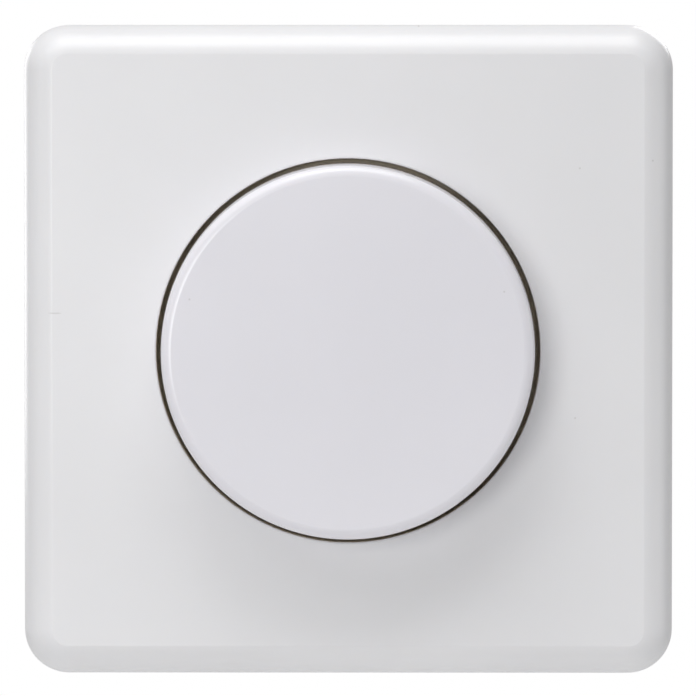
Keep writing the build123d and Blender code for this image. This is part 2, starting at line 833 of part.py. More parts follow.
capacitor_top = post_high - post_radius - part_gap
capacitor_low = post_low + post_radius + 4.7 * part_gap
capacitor_length = capacitor_top - capacitor_low
capacitor_x = capacitor_width / 2 + seat_gap - inner_flat
capacitor_ends = (capacitor_low + capacitor_lead_inset, capacitor_top - capacitor_lead_inset)
capacitor_leads = [(capacitor_x, z) for z in capacitor_ends]
small_x = capacitor_x + small_depth * 0.75
small_outer = small_width / 2 - small_x
small_z = sqrt((inner_radius - 1.2) ** 2 - small_outer**2) - small_depth / 2
small_leads = [(small_x - small_pitch / 2, small_z), (small_x + small_pitch / 2, small_z)]

triac_lead_z = tab_high + 1.3
triac_leads = [(x, triac_lead_z) for x in (-triac_pitch, 0.0, triac_pitch)]
triac_body_low = stake_z + stake_radius + seat_gap
triac_lead_height = -triac_tab - triac_lead_sink

fuse_x = inner_flat - 1.5 * part_gap - clip_sheet - fuse_cap
fuse_height = board_front + fuse_cap + 2.5 * part_gap
fuse_centres = {
    "lower": post_low + post_radius + fuse_low_gap + cap_length / 2,
    "upper": post_high - post_radius - fuse_high_gap - cap_length / 2,
}

resistor_x = switch_side / 2 + resistor_radius + part_gap
resistor_high = resistor_low + resistor_span
resistor_leads = {"left": (-resistor_x, resistor_low, resistor_high), "right": (resistor_x, resistor_low, resistor_high)}
diac_leads = (resistor_x, diac_low, diac_low + diac_span)

# Choke: a ring core wound with copper wire, standing on the board
core_rear = board_front + winding
with BuildPart() as choke_core:
    with BuildSketch(at(core_rear)):
        with Locations((0, choke_z)):
            Circle(choke_outer)
            Circle(choke_hole, mode=Mode.SUBTRACT)
    extrude(amount=choke_height)
save(choke_core, "choke_core")

with BuildPart() as choke_winding:
    with BuildSketch(at(board_front)):
        with Locations((0, choke_z)):
            Circle(choke_outer + winding)
            Circle(choke_hole - winding, mode=Mode.SUBTRACT)
    extrude(amount=choke_height + 2 * winding)
    with BuildSketch(at(core_rear)):
        with Locations((0, choke_z)):
            Circle(choke_outer)
            Circle(choke_hole, mode=Mode.SUBTRACT)
    extrude(amount=choke_height, mode=Mode.SUBTRACT)
    with BuildSketch(at(core_rear + choke_height)):
        with Locations((0, choke_z)):
            with PolarLocations((choke_outer + choke_hole) / 2, winding_grooves):
                Rectangle(choke_outer - choke_hole + winding, winding_groove)
    extrude(amount=winding, mode=Mode.SUBTRACT)
    pegs(choke_leads, lead_radius, lead_end, board_front)
save(choke_winding, "choke_winding")

# Film capacitors: potted boxes with two leads each
with BuildPart() as capacitor:
    capacitor_z = (capacitor_low + capacitor_top) / 2
    block(capacitor_x, capacitor_z, capacitor_width, capacitor_length, board_front, board_front + capacitor_height)
    fillet(capacitor.edges().filter_by(Axis.Y), capacitor_corner)
    pegs(capacitor_leads, lead_radius, lead_end, board_front)
save(capacitor, "capacitor")

with BuildPart() as small_capacitor:
    block(small_x, small_z, small_width, small_depth, board_front, board_front + small_height)
    fillet(small_capacitor.edges().filter_by(Axis.Y), capacitor_corner)
    pegs(small_leads, lead_radius, lead_end, board_front)
save(small_capacitor, "small_capacitor")

# Triac: flat package against the housing's front wall, its tab held by a staked pin
with BuildPart() as triac:
    body_rear = -triac_tab - triac_thickness
    block(0, (triac_body_low + tab_high) / 2, triac_width, tab_high - triac_body_low, body_rear, -triac_tab)
    block(0, (tab_low + tab_high) / 2, triac_width, tab_high - tab_low, -triac_tab, 0)
    pegs([(0, stake_z)], stake_radius, -triac_tab, 0, Mode.SUBTRACT)
    lead_front = triac_lead_height + tag_thickness / 2
    for x, z in triac_leads:
        outer = z + tag_thickness / 2
        block(x, (outer + tab_high) / 2, triac_lead, outer - tab_high, lead_front - tag_thickness, lead_front)
        block(x, z, triac_lead, tag_thickness, lead_end, lead_front)
save(triac, "triac")

# Fuse: glass tube with two metal caps, held in two sprung clips
tube_low = fuse_centres["lower"] - cap_length / 2 + cap_overlap
tube_high = fuse_centres["upper"] + cap_length / 2 - cap_overlap
with BuildPart() as fuse_tube:
    upright(fuse_x, fuse_height, fuse_glass, tube_low, tube_high)
    upright(fuse_x, fuse_height, fuse_glass - fuse_glass_wall, tube_low, tube_high, Mode.SUBTRACT)
save(fuse_tube, "fuse_tube")

for name, middle in fuse_centres.items():
    with BuildPart() as cap:
        upright(fuse_x, fuse_height, fuse_cap, middle - cap_length / 2, middle + cap_length / 2)
        upright(fuse_x, fuse_height, fuse_glass, tube_low, tube_high, Mode.SUBTRACT)
    save(cap, f"fuse_cap_{name}")

    with BuildPart() as fuse_clip:
        clip_top = fuse_height + clip_length / 3
        block(fuse_x, middle, 2 * (fuse_cap + clip_sheet), clip_length, board_front, clip_top)
        block(fuse_x, middle, 2 * fuse_cap, clip_length, board_front + clip_sheet, clip_top, Mode.SUBTRACT)
        pegs([(fuse_x, middle)], lead_radius, lead_end, board_front)
    save(fuse_clip, f"fuse_clip_{name}")


def axial(x, low, high, radius, length):
    """Round body lying along Z on two bent leads, in the open part."""
    body_height = board_front + radius + 2 * fit_gap
    middle = (low + high) / 2
    upright(x, body_height, radius, middle - length / 2, middle + length / 2)
    upright(x, body_height, 0.9 * lead_radius, low, high)
    pegs([(x, low), (x, high)], lead_radius, lead_end, body_height + lead_radius)


for name, (x, low, high) in resistor_leads.items():
    with BuildPart() as resistor:
        axial(x, low, high, resistor_radius, resistor_length)
    save(resistor, f"resistor_{name}")

with BuildPart() as diac:
    axial(*diac_leads, diac_radius, diac_length)
save(diac, "diac")


# Terminals: a cage for each wire with a tag to the board, and a screw that presses the wire

cage_mid = (cage_top + cage_bottom) / 2
inner_top = cage_top - cage_wall
inner_bottom = cage_bottom + terminal_screw_radius
inner_mid = (inner_top + inner_bottom) / 2
inner_width = 2 * (cage_half_width - cage_wall)
tag_front = board_front + 2 * part_gap
tag_end = tag_z + tag_thickness / 2
head_high = cage_bottom - 3 * fit_gap

for name, x in zip(("left", "middle", "right"), terminal_x):
    with BuildPart() as cage:
        block(x, cage_mid, 2 * cage_half_width, cage_top - cage_bottom, cage_rear, cage_front)
        block(x, inner_mid, inner_width, inner_top - inner_bottom, cage_rear, cage_front, Mode.SUBTRACT)
        block(x, (cage_top + tag_end) / 2, tag_width, tag_end - cage_top, tag_front - tag_thickness, tag_front)
        block(x, tag_z, tag_width, tag_thickness, lead_end, tag_front)
        upright(x, terminal_screw_height, terminal_screw_radius, cage_bottom, inner_bottom, Mode.SUBTRACT)
    save(cage, f"terminal_cage_{name}")

    with BuildPart() as terminal_screw:
        upright(x, terminal_screw_height, terminal_screw_radius, head_high, inner_bottom + seat_gap)
        upright(x, terminal_screw_height, terminal_head, head_high - terminal_head_length, head_high)
        with Locations((x, -terminal_screw_height, head_high - terminal_head_length)):
            Box(2.1 * terminal_head, driver_slot, terminal_head_length, mode=Mode.SUBTRACT)
    save(terminal_screw, f"terminal_screw_{name}")


# Circuit board: follows the housing's outline, cut off below for the terminals, with a hole for
# every lead, pin and tag.

round_leads = choke_leads + capacitor_leads + small_leads
round_leads += [(fuse_x, z) for z in fuse_centres.values()]
round_leads += [(x, z) for x, low, high in resistor_leads.values() for z in (low, high)]
round_leads += [(diac_leads[0], z) for z in diac_leads[1:]]
flat_leads = triac_leads + [(x, pin_z) for x in (-pin_pitch, 0, pin_pitch)]
flat_leads += [(-contact_x, 0), (contact_x, 0)]

with BuildPart() as circuit_board:
    with BuildSketch(at(board_rear)):
        barrel(inner_radius - 3 * fit_gap, inner_flat - 3 * fit_gap)
        with Locations((0, board_cut - inner_radius)):
            Rectangle(2 * inner_radius, 2 * inner_radius, mode=Mode.SUBTRACT)
        with Locations(*round_leads):
            Circle(lead_radius + hole_gap, mode=Mode.SUBTRACT)
        with Locations(*flat_leads):
            Rectangle(pin_width + 2 * hole_gap, tag_thickness + 2 * hole_gap, mode=Mode.SUBTRACT)
        with Locations(*[(x, tag_z) for x in terminal_x]):
            Rectangle(tag_width + 2 * hole_gap, tag_thickness + 2 * hole_gap, mode=Mode.SUBTRACT)
    extrude(amount=board_thickness)
save(circuit_board, "circuit_board")
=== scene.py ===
import math

import bpy
import numpy as np
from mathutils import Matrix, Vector


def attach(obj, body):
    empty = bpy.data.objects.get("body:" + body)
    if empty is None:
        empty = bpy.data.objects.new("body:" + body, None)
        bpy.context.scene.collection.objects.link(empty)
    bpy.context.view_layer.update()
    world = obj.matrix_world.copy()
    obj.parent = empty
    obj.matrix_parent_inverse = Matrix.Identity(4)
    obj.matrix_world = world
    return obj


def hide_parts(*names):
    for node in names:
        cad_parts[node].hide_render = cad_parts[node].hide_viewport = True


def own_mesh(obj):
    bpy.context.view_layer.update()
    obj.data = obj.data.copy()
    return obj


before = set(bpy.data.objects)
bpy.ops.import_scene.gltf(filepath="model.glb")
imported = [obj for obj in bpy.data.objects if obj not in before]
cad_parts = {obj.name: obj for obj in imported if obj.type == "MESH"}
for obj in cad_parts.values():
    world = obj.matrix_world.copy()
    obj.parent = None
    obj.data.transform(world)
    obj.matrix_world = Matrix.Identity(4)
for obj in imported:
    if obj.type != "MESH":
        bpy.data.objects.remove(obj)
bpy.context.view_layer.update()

# Cover plate
# One injection-moulded plate in satin white plastic. A curved border runs into the flat face at a faint
# crease, and the round opening drops into a well whose floor is clamped by the nut on the bush.

MM = 0.001
PLATE_HALF = 40.25
PLATE_CORNER = 5.65
RIM = 0.1
RIM_EDGE = 0.12
RIM_EDGE_ROWS = 5
FACE = 9.5
DRAFT = 1.5
BORDER = 4.58
CREASE = 12.0
WALL = 2.0
OPENING = 23.66
LIP = 0.25
WELL_FRONT = 4.6
WELL_BACK = 3.0
WELL_CORNER = 0.3
WELL_OUTER = 25.1
WELL_EDGE = 0.2
BUSH_HOLE = 5.2
SMALL_EDGE = 0.15
FACE_MARGIN = 0.08
ROOF_MARGIN = 0.05
ROOF_START = 0.4
RIB = 1.2
DIAGONAL_RIBS = (24.4, 52.6)
DIAGONAL_DEPTH = 5.4
DIAGONAL_MIDDLE = 5.8
DIAGONAL_CORNERS = ((1, 1), (-1, 1), (-1, -1), (1, -1))
LOCATOR_REACH = 37.15
LOCATOR_SPACING = 40.0
LOCATOR_SIZE = (2.9, 5.5, RIB)
LOCATOR_MIDDLE = 3.25
PLATE_TINT = (0.80, 0.797, 0.811, 1.0)
PLATE_GAP = (0.0230, 0.0249)
PLATE_SCRATCH = (-0.0361, 0.0046)
DUST = (0.30, 0.28, 0.25, 1.0)
# Painted shade colour: the warm brown put into the gap round the knob, for the tint of the light deep in it.
GAP_PAINTED_SHADE = (0.92, 0.82, 0.66, 1.0)


class Value:
    """One output of a material's nodes. Arithmetic on it adds the matching Math nodes."""

    def __init__(self, tree, socket):
        self.tree = tree
        self.socket = socket

    def math(self, operation, *others):
        node = self.tree.nodes.new("ShaderNodeMath")
        node.operation = operation
        for place, item in zip(node.inputs, (self, *others)):
            feed(self.tree, place, item)
        return Value(self.tree, node.outputs[0])

    def __add__(self, other):
        return self.math("ADD", other)

    def __sub__(self, other):
        return self.math("SUBTRACT", other)

    def __mul__(self, other):
        return self.math("MULTIPLY", other)

    def __neg__(self):
        return self * -1.0

    def __rsub__(self, other):
        return -self + other

    def __pow__(self, other):
        return self.math("POWER", other)

    __radd__ = __add__
    __rmul__ = __mul__

    def ramp(self, start, end):
        """0 at start and before it, 1 at end and past it, and straight between them."""
        return ((self - start) * (1.0 / (end - start))).math("MAXIMUM", 0.0).math("MINIMUM", 1.0)


def feed(tree, place, item):
    """Link a Value to an input, or set the input's own number or colour."""
    if isinstance(item, Value):
        tree.links.new(item.socket, place)
    else:
        place.default_value = item


class Paint:
    """A material with one Principled shader, whose inputs take a number, a colour or a Value."""

    def __init__(self, name):
        self.material = bpy.data.materials.new(name)
        self.material.use_nodes = True
        self.tree = self.material.node_tree
        self.shader = self.tree.nodes["Principled BSDF"]

    def node(self, kind, inputs, output=0, **settings):
        """One node's wanted output. Its settings are given by name, and its inputs by name or number."""
        node = self.tree.nodes.new(kind)
        for name, value in settings.items():
            setattr(node, name, value)
        for name, item in inputs.items():
            feed(self.tree, node.inputs[name], item)
        return Value(self.tree, node.outputs[output])

    def place(self, scale=(1.0, 1.0, 1.0), centre=(0.0, 0.0, 0.0)):
        """The object's own coordinates in metres, measured from centre and stretched by scale."""
        coordinates = self.node("ShaderNodeTexCoord", {}, "Object")
        moved = tuple(-c * s for c, s in zip(centre, scale))
        return self.node("ShaderNodeMapping", {"Vector": coordinates, "Location": moved, "Scale": scale})

    def noise(self, where, scale, detail=2.0, roughness=0.5):
        return self.node(
            "ShaderNodeTexNoise", {"Vector": where, "Scale": scale, "Detail": detail, "Roughness": roughness}
        )

    def cells(self, where, scale, output="Distance", dimensions="3D"):
        """Voronoi cells: the distance from the nearest cell's middle, or the cell's own random colour."""
        inputs = {"Vector": where, "Scale": scale}
        return self.node("ShaderNodeTexVoronoi", inputs, output, voronoi_dimensions=dimensions)

    def axes(self, where):
        """The x, y and z of a vector as three Values."""
        first = self.node("ShaderNodeSeparateXYZ", {"Vector": where})
        outputs = first.socket.node.outputs
        return tuple(Value(self.tree, outputs[i]) for i in range(3))

    def mix(self, factor, first, second):
        """The first colour where factor is 0 and the second where it is 1."""
        return self.node("ShaderNodeMix", {0: factor, 6: first, 7: second}, 2, data_type="RGBA")

    def bump(self, height, distance, strength=1.0, under=None):
        """A normal from a height, with distance the real depth in metres of a height of 1."""
        inputs = {"Height": height, "Distance": distance, "Strength": strength}
        if under is not None:
            inputs["Normal"] = under
        return self.node("ShaderNodeBump", inputs)

    def set(self, **inputs):
        """Set inputs of the shader, written with underscores for spaces."""
        for name, item in inputs.items():
            feed(self.tree, self.shader.inputs[name.replace("_", " ")], item)
        return self.material


def moulded_white(name, tint, roughness, gap, scratch=None):
    """Satin white plastic: a fine even texture, a faint long ripple from the mould and a few dust specks, in
    about one of ten cells a centimetre wide. The gap round the knob, from its least to its greatest radius
    in metres, gets painted shade: a warm brown from just behind the face inwards. A scratch is the (x, z)
    of the middle of a short line."""
    paint = Paint(name)
    where = paint.place()
    x, y, z = paint.axes(where)
    radius = (x * x + z * z) ** 0.5
    # Mask for the painted shade in the gap round the knob, from 0.1 mm behind the face inwards.
    in_gap = radius.ramp(gap[0], gap[0] + 0.0002) * radius.ramp(gap[1], gap[1] - 0.0002)
    in_gap = in_gap * (-y).ramp((FACE - 0.1) * MM, (FACE - 0.9) * MM)
    ripple = paint.noise(where, 70.0, 1.0)
    grain = paint.noise(where, 5200.0, 3.0)
    patches = paint.noise(where, 28.0, 2.0)
    front = paint.node("ShaderNodeCombineXYZ", {"X": x, "Y": z})
    speck = paint.cells(front, 105.0, "Distance", "2D").ramp(0.018, 0.006)
    luck = paint.axes(paint.cells(front, 105.0, "Color", "2D"))[0].ramp(0.88, 0.90)
    marks = speck * luck
    if scratch:
        along = (x - scratch[0]).math("ABSOLUTE").ramp(0.0009, 0.0004)
        beside = (z - scratch[1]).math("ABSOLUTE").ramp(0.00012, 0.00004)
        marks = marks.math("MAXIMUM", beside * along)
    shade = tuple(c * 0.965 for c in tint[:3]) + (1.0,)
    colour = paint.mix(patches.ramp(0.35, 0.65), tint, shade)
    colour = paint.mix(marks * 0.28, colour, DUST)
    # Painted shade: the gap round the knob turns warm brown.
    colour = paint.mix(in_gap, colour, GAP_PAINTED_SHADE)
    finish = roughness + (grain - 0.5) * 0.05 + (patches - 0.5) * 0.06
    normal = paint.bump(ripple, 0.00006, 0.25)
    normal = paint.bump(grain, 0.000010, 0.35, normal)
    return paint.set(
        Base_Color=colour,
        Roughness=finish,
        Normal=normal,
        IOR=1.49,
        Subsurface_Weight=0.06,
        Subsurface_Radius=(0.0022, 0.0018, 0.0014),
        Subsurface_Scale=1.0,
    )


def rounded_square(half, corner, corner_steps=20, side_steps=26):
    """Points and outward normals once round a square with round corners: each corner's centre + corner
    (cos a, sin a), and even steps along the straight side after it."""
    turn = np.radians(np.linspace(0, 90, corner_steps + 1))[None, :] + np.radians([0, 90, 180, 270])[:, None]
    outward = np.stack([np.cos(turn), np.sin(turn)], axis=-1)
    signs = np.array([(1, 1), (-1, 1), (-1, -1), (1, -1)])[:, None, :]
    arc = signs * (half - corner) + corner * outward
    share = (np.arange(1, side_steps + 1) / (side_steps + 1))[None, :, None]
    side = arc[:, -1:] + (np.roll(arc, -1, axis=0)[:, :1] - arc[:, -1:]) * share
    side_outward = np.broadcast_to(outward[:, -1:], side.shape)
    plan = np.concatenate([arc, side], axis=1).reshape(-1, 2)
    return plan, np.concatenate([outward, side_outward], axis=1).reshape(-1, 2)


def round_like(plan, radius):
    """Points on a circle, radius times the direction of each point of plan, with these as normals."""
    outward = plan / np.linalg.norm(plan, axis=1)[:, None]
    return outward * radius, outward


def stack(plans, heights, outward, slopes):
    """Loops of points and normals: each plan at its height in front of the wall. A normal points outwards at
    a slope of 0 degrees, forwards at 90, inwards at 180 and backwards at -90."""
    plans = np.asarray(plans, float)
    outward = np.broadcast_to(outward, plans.shape)
    lean = np.radians(np.asarray(slopes, float))[:, None]
    up = np.broadcast_to(np.asarray(heights, float)[:, None], plans.shape[:2])
    places = np.stack([plans[..., 0], -up, plans[..., 1]], axis=-1)
    flat = np.cos(lean)[..., None] * outward
    front = np.broadcast_to(np.sin(lean), plans.shape[:2])
    return places, np.stack([flat[..., 0], -front, flat[..., 1]], axis=-1)


def bend(reach, height, radius, start, end, steps, hollow=False):
    """A round edge in section, as rows (reach, height, slope): centre + radius (cos a, sin a), where a goes
    from start to end in degrees. It faces away from the centre, or towards it where it is hollow."""
    angle = np.linspace(start, end, steps)
    turn = np.radians(angle)
    slope = angle + 180 if hollow else angle
    return np.stack([reach + radius * np.cos(turn), height + radius * np.sin(turn), slope], axis=1)


def skin(places, closed=True):
    """Faces between neighbouring loops. Each loop is closed, and closed joins the last loop to the first."""
    rows, count = places.shape[:2]
    row = np.arange(rows if closed else rows - 1)[:, None]
    column = np.arange(count)[None, :]
    after = (column + 1) % count
    below = (row + 1) % rows
    corners = (row * count + column, row * count + after, below * count + after, below * count + column)
    return np.stack(np.broadcast_arrays(*corners), axis=-1).reshape(-1, 4)


def slabs(centres, sizes, turns):
    """Flat-sided ribs, each with a centre (x, height, z), a size (length, depth, thickness) and a turn."""
    corner = np.array([(a, b, c) for a in (-0.5, 0.5) for b in (-0.5, 0.5) for c in (-0.5, 0.5)])
    faces = np.array([(0, 1, 3, 2), (4, 6, 7, 5), (0, 4, 5, 1), (2, 3, 7, 6), (0, 2, 6, 4), (1, 5, 7, 3)])
    local = corner[None] * np.asarray(sizes, float)[:, None, :]
    turn = np.radians(np.asarray(turns, float))[:, None]
    x = local[..., 0] * np.cos(turn) - local[..., 2] * np.sin(turn)
    z = local[..., 0] * np.sin(turn) + local[..., 2] * np.cos(turn)
    middle = np.asarray(centres, float)[:, None, :]
    solid = np.stack([x + middle[..., 0], -(local[..., 1] + middle[..., 1]), z + middle[..., 2]], axis=-1)
    quads = solid[:, faces]
    across = np.cross(quads[:, :, 1] - quads[:, :, 0], quads[:, :, 3] - quads[:, :, 0])
    across /= np.linalg.norm(across, axis=-1, keepdims=True)
    inward = (across * (quads.mean(2) - solid.mean(1)[:, None])).sum(-1) < 0
    quads = np.where(inward[..., None, None], quads[:, :, ::-1], quads)
    across = np.where(inward[..., None], -across, across)
    places = quads.reshape(-1, 3)
    return places, np.repeat(across.reshape(-1, 3), 4, axis=0), np.arange(len(places)).reshape(-1, 4)


def piece(name, shells, material, body, nodes=()):
    """One mesh of shells, each (places in mm, normals, faces), on its body and in place of these nodes."""
    starts = np.cumsum([0] + [len(p.reshape(-1, 3)) for p, _, _ in shells])
    places = np.concatenate([p.reshape(-1, 3) for p, _, _ in shells]) * MM
    normals = np.concatenate([n.reshape(-1, 3) for _, n, _ in shells])
    faces = np.concatenate([f + s for (_, _, f), s in zip(shells, starts)])
    mesh = bpy.data.meshes.new(name)
    mesh.from_pydata(places.tolist(), [], faces.tolist())
    mesh.polygons.foreach_set("use_smooth", np.ones(len(faces), bool))
    mesh.normals_split_custom_set_from_vertices(normals.tolist())
    mesh.materials.append(material)
    made = bpy.data.objects.new(name, mesh)
    bpy.context.collection.objects.link(made)
    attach(made, body)
    if nodes:
        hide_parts(*nodes)
    return made


def border_section(start, top, radius, crease):
    """One side of the plate in section, as rows (reach, height, slope): a small rim edge, the drafted side
    and the round border, which ends at a crease with the face. Reach counts outwards from the outline."""
    draft = math.radians(DRAFT)
    height = top + radius * (1 - math.cos(math.radians(crease))) - radius
    reach = start - radius * math.cos(draft) - (height + radius * math.sin(draft) - RIM) * math.tan(draft)
    foot = bend(start - RIM_EDGE, RIM + RIM_EDGE, RIM_EDGE, -90, DRAFT, RIM_EDGE_ROWS)
    return np.concatenate([foot, bend(reach, height, radius, DRAFT, 90 - crease, 28)])


outside, outward = rounded_square(PLATE_HALF, PLATE_CORNER)
radial = round_like(outside, 1.0)[1]


def along_outline(section):
    """Loops that follow the plate's outline, pushed outwards by each row's reach."""
    plans = outside[None] + section[:, 0, None, None] * outward[None]
    return stack(plans, section[:, 1], outward, section[:, 2])


def around_axis(section):
    """Round loops with the reach of each row as radius."""
    return stack(section[:, 0, None, None] * radial[None], section[:, 1], radial, section[:, 2])


def across(first, last, height, slope, rows):
    """Flat loops that change evenly from one plan to another."""
    share = np.linspace(0, 1, rows)[:, None, None]
    plans = first[None] * (1 - share) + last[None] * share
    return stack(plans, np.full(rows, height), outward, np.full(rows, slope))


border = border_section(0.0, FACE, BORDER, CREASE)
lip = OPENING + LIP
well = np.concatenate(
    [
        bend(lip, FACE - LIP, LIP, 100, 180, 6),
        bend(OPENING - WELL_CORNER, WELL_FRONT + WELL_CORNER, WELL_CORNER, 0, -90, 6, hollow=True),
        [(BUSH_HOLE + SMALL_EDGE, WELL_FRONT, 90), (BUSH_HOLE, WELL_FRONT - SMALL_EDGE, 180)],
        [(BUSH_HOLE, WELL_BACK + SMALL_EDGE, 180), (BUSH_HOLE + SMALL_EDGE, WELL_BACK, -90)],
        [(WELL_OUTER - WELL_EDGE, WELL_BACK, -90), (WELL_OUTER, WELL_BACK + WELL_EDGE, 0)],
        [(WELL_OUTER, FACE - WALL - WELL_CORNER, 0), (WELL_OUTER + WELL_CORNER, FACE - WALL, -90)],
    ]
)
inside = border_section(-WALL, FACE - WALL, BORDER - WALL, 0.0)[RIM_EDGE_ROWS:][::-1] + (0, 0, 180)
foot = [(-WALL, RIM + RIM_EDGE, 180), (RIM_EDGE - WALL, RIM, -90), (-2 * RIM_EDGE, RIM, -90)]
inside = np.concatenate([inside, foot])
# Face and roof stop a margin short of the bends round them, so that the creases stay sharp.
face_outline = outside + (border[-1, 0] - FACE_MARGIN) * outward
roof_outline = outside + (inside[0, 0] - ROOF_MARGIN) * outward
plate_parts = [
    along_outline(border),
    across(face_outline, lip * radial, FACE, 90, 9),
    around_axis(well),
    across((WELL_OUTER + ROOF_START) * radial, roof_outline, FACE - WALL, -90, 5),
    along_outline(inside),
]
plate_places = np.concatenate([places for places, _ in plate_parts])
plate_normals = np.concatenate([normals for _, normals in plate_parts])
plate_shell = (plate_places, plate_normals, skin(plate_places))

middle = sum(DIAGONAL_RIBS) / 2 / math.sqrt(2)
diagonal_centres = [(a * middle, DIAGONAL_MIDDLE, b * middle) for a, b in DIAGONAL_CORNERS]
diagonal_size = (DIAGONAL_RIBS[1] - DIAGONAL_RIBS[0], DIAGONAL_DEPTH, RIB)
diagonal_ribs = slabs(diagonal_centres, [diagonal_size] * 4, (45, 135, 225, 315))
beside = LOCATOR_SPACING / 2
locator_places = [(a, b) for a in (-LOCATOR_REACH, LOCATOR_REACH) for b in (-beside, beside)]
locator_centres = [(a, LOCATOR_MIDDLE, b) for a, b in locator_places]
locator_centres += [(b, LOCATOR_MIDDLE, a) for a, b in locator_places]
locators = slabs(locator_centres, [LOCATOR_SIZE] * 8, [0] * 4 + [90] * 4)

plate_white = moulded_white("white_plate", PLATE_TINT, 0.30, PLATE_GAP, PLATE_SCRATCH)
plate_shells = [plate_shell, diagonal_ribs, locators]
plate = piece("cover_plate_skin", plate_shells, plate_white, "base", ["cover_plate"])


# Knob
# A moulded cap in the same white plastic, pressed on the flat of the shaft. Its side wall leans in by
# two degrees, and the rounded front edge stops at a faint crease just before the flat face.

KNOB_BASE = 7.2
KNOB_FRONT = 18.0
KNOB_RADIUS = 23.1
KNOB_DRAFT = 2.0
KNOB_EDGE_ACROSS = 1.42
KNOB_EDGE_RISE = 0.98
KNOB_CREASE = 6.0
KNOB_STEPS = 288
KNOB_MARGIN = 0.06
KNOB_INNER = 21.1
KNOB_ROOF = 15.8
HUB = 5.5
HUB_END = 10.8
HUB_EDGE = 0.2
HUB_FILLET = 0.3
KNOB_LEAN = 0.3
KNOB_FILLET = 0.4
BORE_END = 15.7
SHAFT = 3.0
SHAFT_FLAT = 1.5
KNOB_RIBS = 6
KNOB_RIB_ENDS = (5.2, 21.0)
KNOB_RIB_DEPTH = 3.5
KNOB_RIB_MIDDLE = 14.15
KNOB_TINT = (0.797, 0.787, 0.832, 1.0)
KNOB_GAP = (0.0213, 0.0240)
PINCH = 0.01

turn = np.linspace(0, 2 * np.pi, KNOB_STEPS, endpoint=False)
ring = np.stack([np.cos(turn), np.sin(turn)], axis=-1)


def oval_bend(reach, height, across, rise, start, end, steps):
    """As bend, but round an oval: centre + (across cos t, rise sin t), where tan t = rise / across times the
    tangent of the slope, and the slopes go evenly from start to end."""
    slope = np.radians(np.linspace(start, end, steps))
    turn = np.arctan2(rise * np.sin(slope), across * np.cos(slope))
    return np.stack([reach + across * np.cos(turn), height + rise * np.sin(turn), np.degrees(slope)], axis=1)


edge = oval_bend(0.0, 0.0, KNOB_EDGE_ACROSS, KNOB_EDGE_RISE, KNOB_DRAFT, 90 - KNOB_CREASE, 22)
edge_height = KNOB_FRONT - edge[-1, 1]
side_height = edge_height + edge[0, 1] - KNOB_BASE
edge_radius = KNOB_RADIUS - side_height * math.tan(math.radians(KNOB_DRAFT)) - edge[0, 0]
edge += (edge_radius, edge_height, 0)

knob_outside = np.concatenate(
    [
        bend(KNOB_RADIUS - SMALL_EDGE, KNOB_BASE + SMALL_EDGE, SMALL_EDGE, -90, KNOB_DRAFT, 5),
        edge,
        [(reach, KNOB_FRONT, 90) for reach in (edge[-1, 0] - KNOB_MARGIN, 18, 12, 6, PINCH)],
    ]
)
knob_inside = np.array(
    [
        (PINCH, BORE_END, -90),
        (SHAFT, BORE_END, 180),
        (SHAFT, HUB_END + SMALL_EDGE, 180),
        (SHAFT + SMALL_EDGE, HUB_END, -90),
        (HUB - HUB_EDGE, HUB_END, -90),
        (HUB, HUB_END + HUB_EDGE, 0),
        (HUB, KNOB_ROOF - HUB_FILLET, 0),
        (HUB + HUB_FILLET, KNOB_ROOF, -90),
        (KNOB_INNER - KNOB_LEAN - KNOB_FILLET, KNOB_ROOF, -90),
        (KNOB_INNER - KNOB_LEAN, KNOB_ROOF - KNOB_FILLET, 180),
        (KNOB_INNER, KNOB_BASE + SMALL_EDGE, 180),
        (KNOB_INNER, KNOB_BASE, -90),
    ]
)
bore = np.where(ring[:, 1] > 0, np.minimum(SHAFT, SHAFT_FLAT / np.maximum(ring[:, 1], 1e-6)), SHAFT)
knob_section = np.concatenate([knob_outside, knob_inside])
knob_plans = knob_section[:, 0, None, None] * ring[None]
first_bore = len(knob_outside) + 1
knob_plans[first_bore : first_bore + 2] = (bore[:, None] * ring)[None]
knob_places, knob_normals = stack(knob_plans, knob_section[:, 1], ring, knob_section[:, 2])
knob_shell = (knob_places, knob_normals, skin(knob_places))
rib_turns = np.arange(KNOB_RIBS) * 360.0 / KNOB_RIBS + 30.0
rib_middle = sum(KNOB_RIB_ENDS) / 2
rib_ways = [(math.cos(math.radians(t)), math.sin(math.radians(t))) for t in rib_turns]
rib_centres = [(rib_middle * x, KNOB_RIB_MIDDLE, rib_middle * z) for x, z in rib_ways]
rib_size = (KNOB_RIB_ENDS[1] - KNOB_RIB_ENDS[0], KNOB_RIB_DEPTH, RIB)
knob_ribs = slabs(rib_centres, [rib_size] * KNOB_RIBS, rib_turns)

knob_white = moulded_white("white_knob", KNOB_TINT, 0.23, KNOB_GAP)
knob = piece("knob_skin", [knob_shell, knob_ribs], knob_white, "knob", ["knob"])


# Nut, bush, shaft and clip
# The bush and shaft are turned bar, the thin hexagon nut is nickel-plated, and a stamped spring clip sits in
# the shaft's groove. The nut clamps the cover plate's well against the support ring.

BUSH_THREAD = (0.00075, 0.0005, 0.0078, 0.0047)


def dress(material, *names):
    """Give the frame's own solids of these names this material."""
    for name in names:
        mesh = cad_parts[name].data
        mesh.materials.clear()
        mesh.materials.append(material)


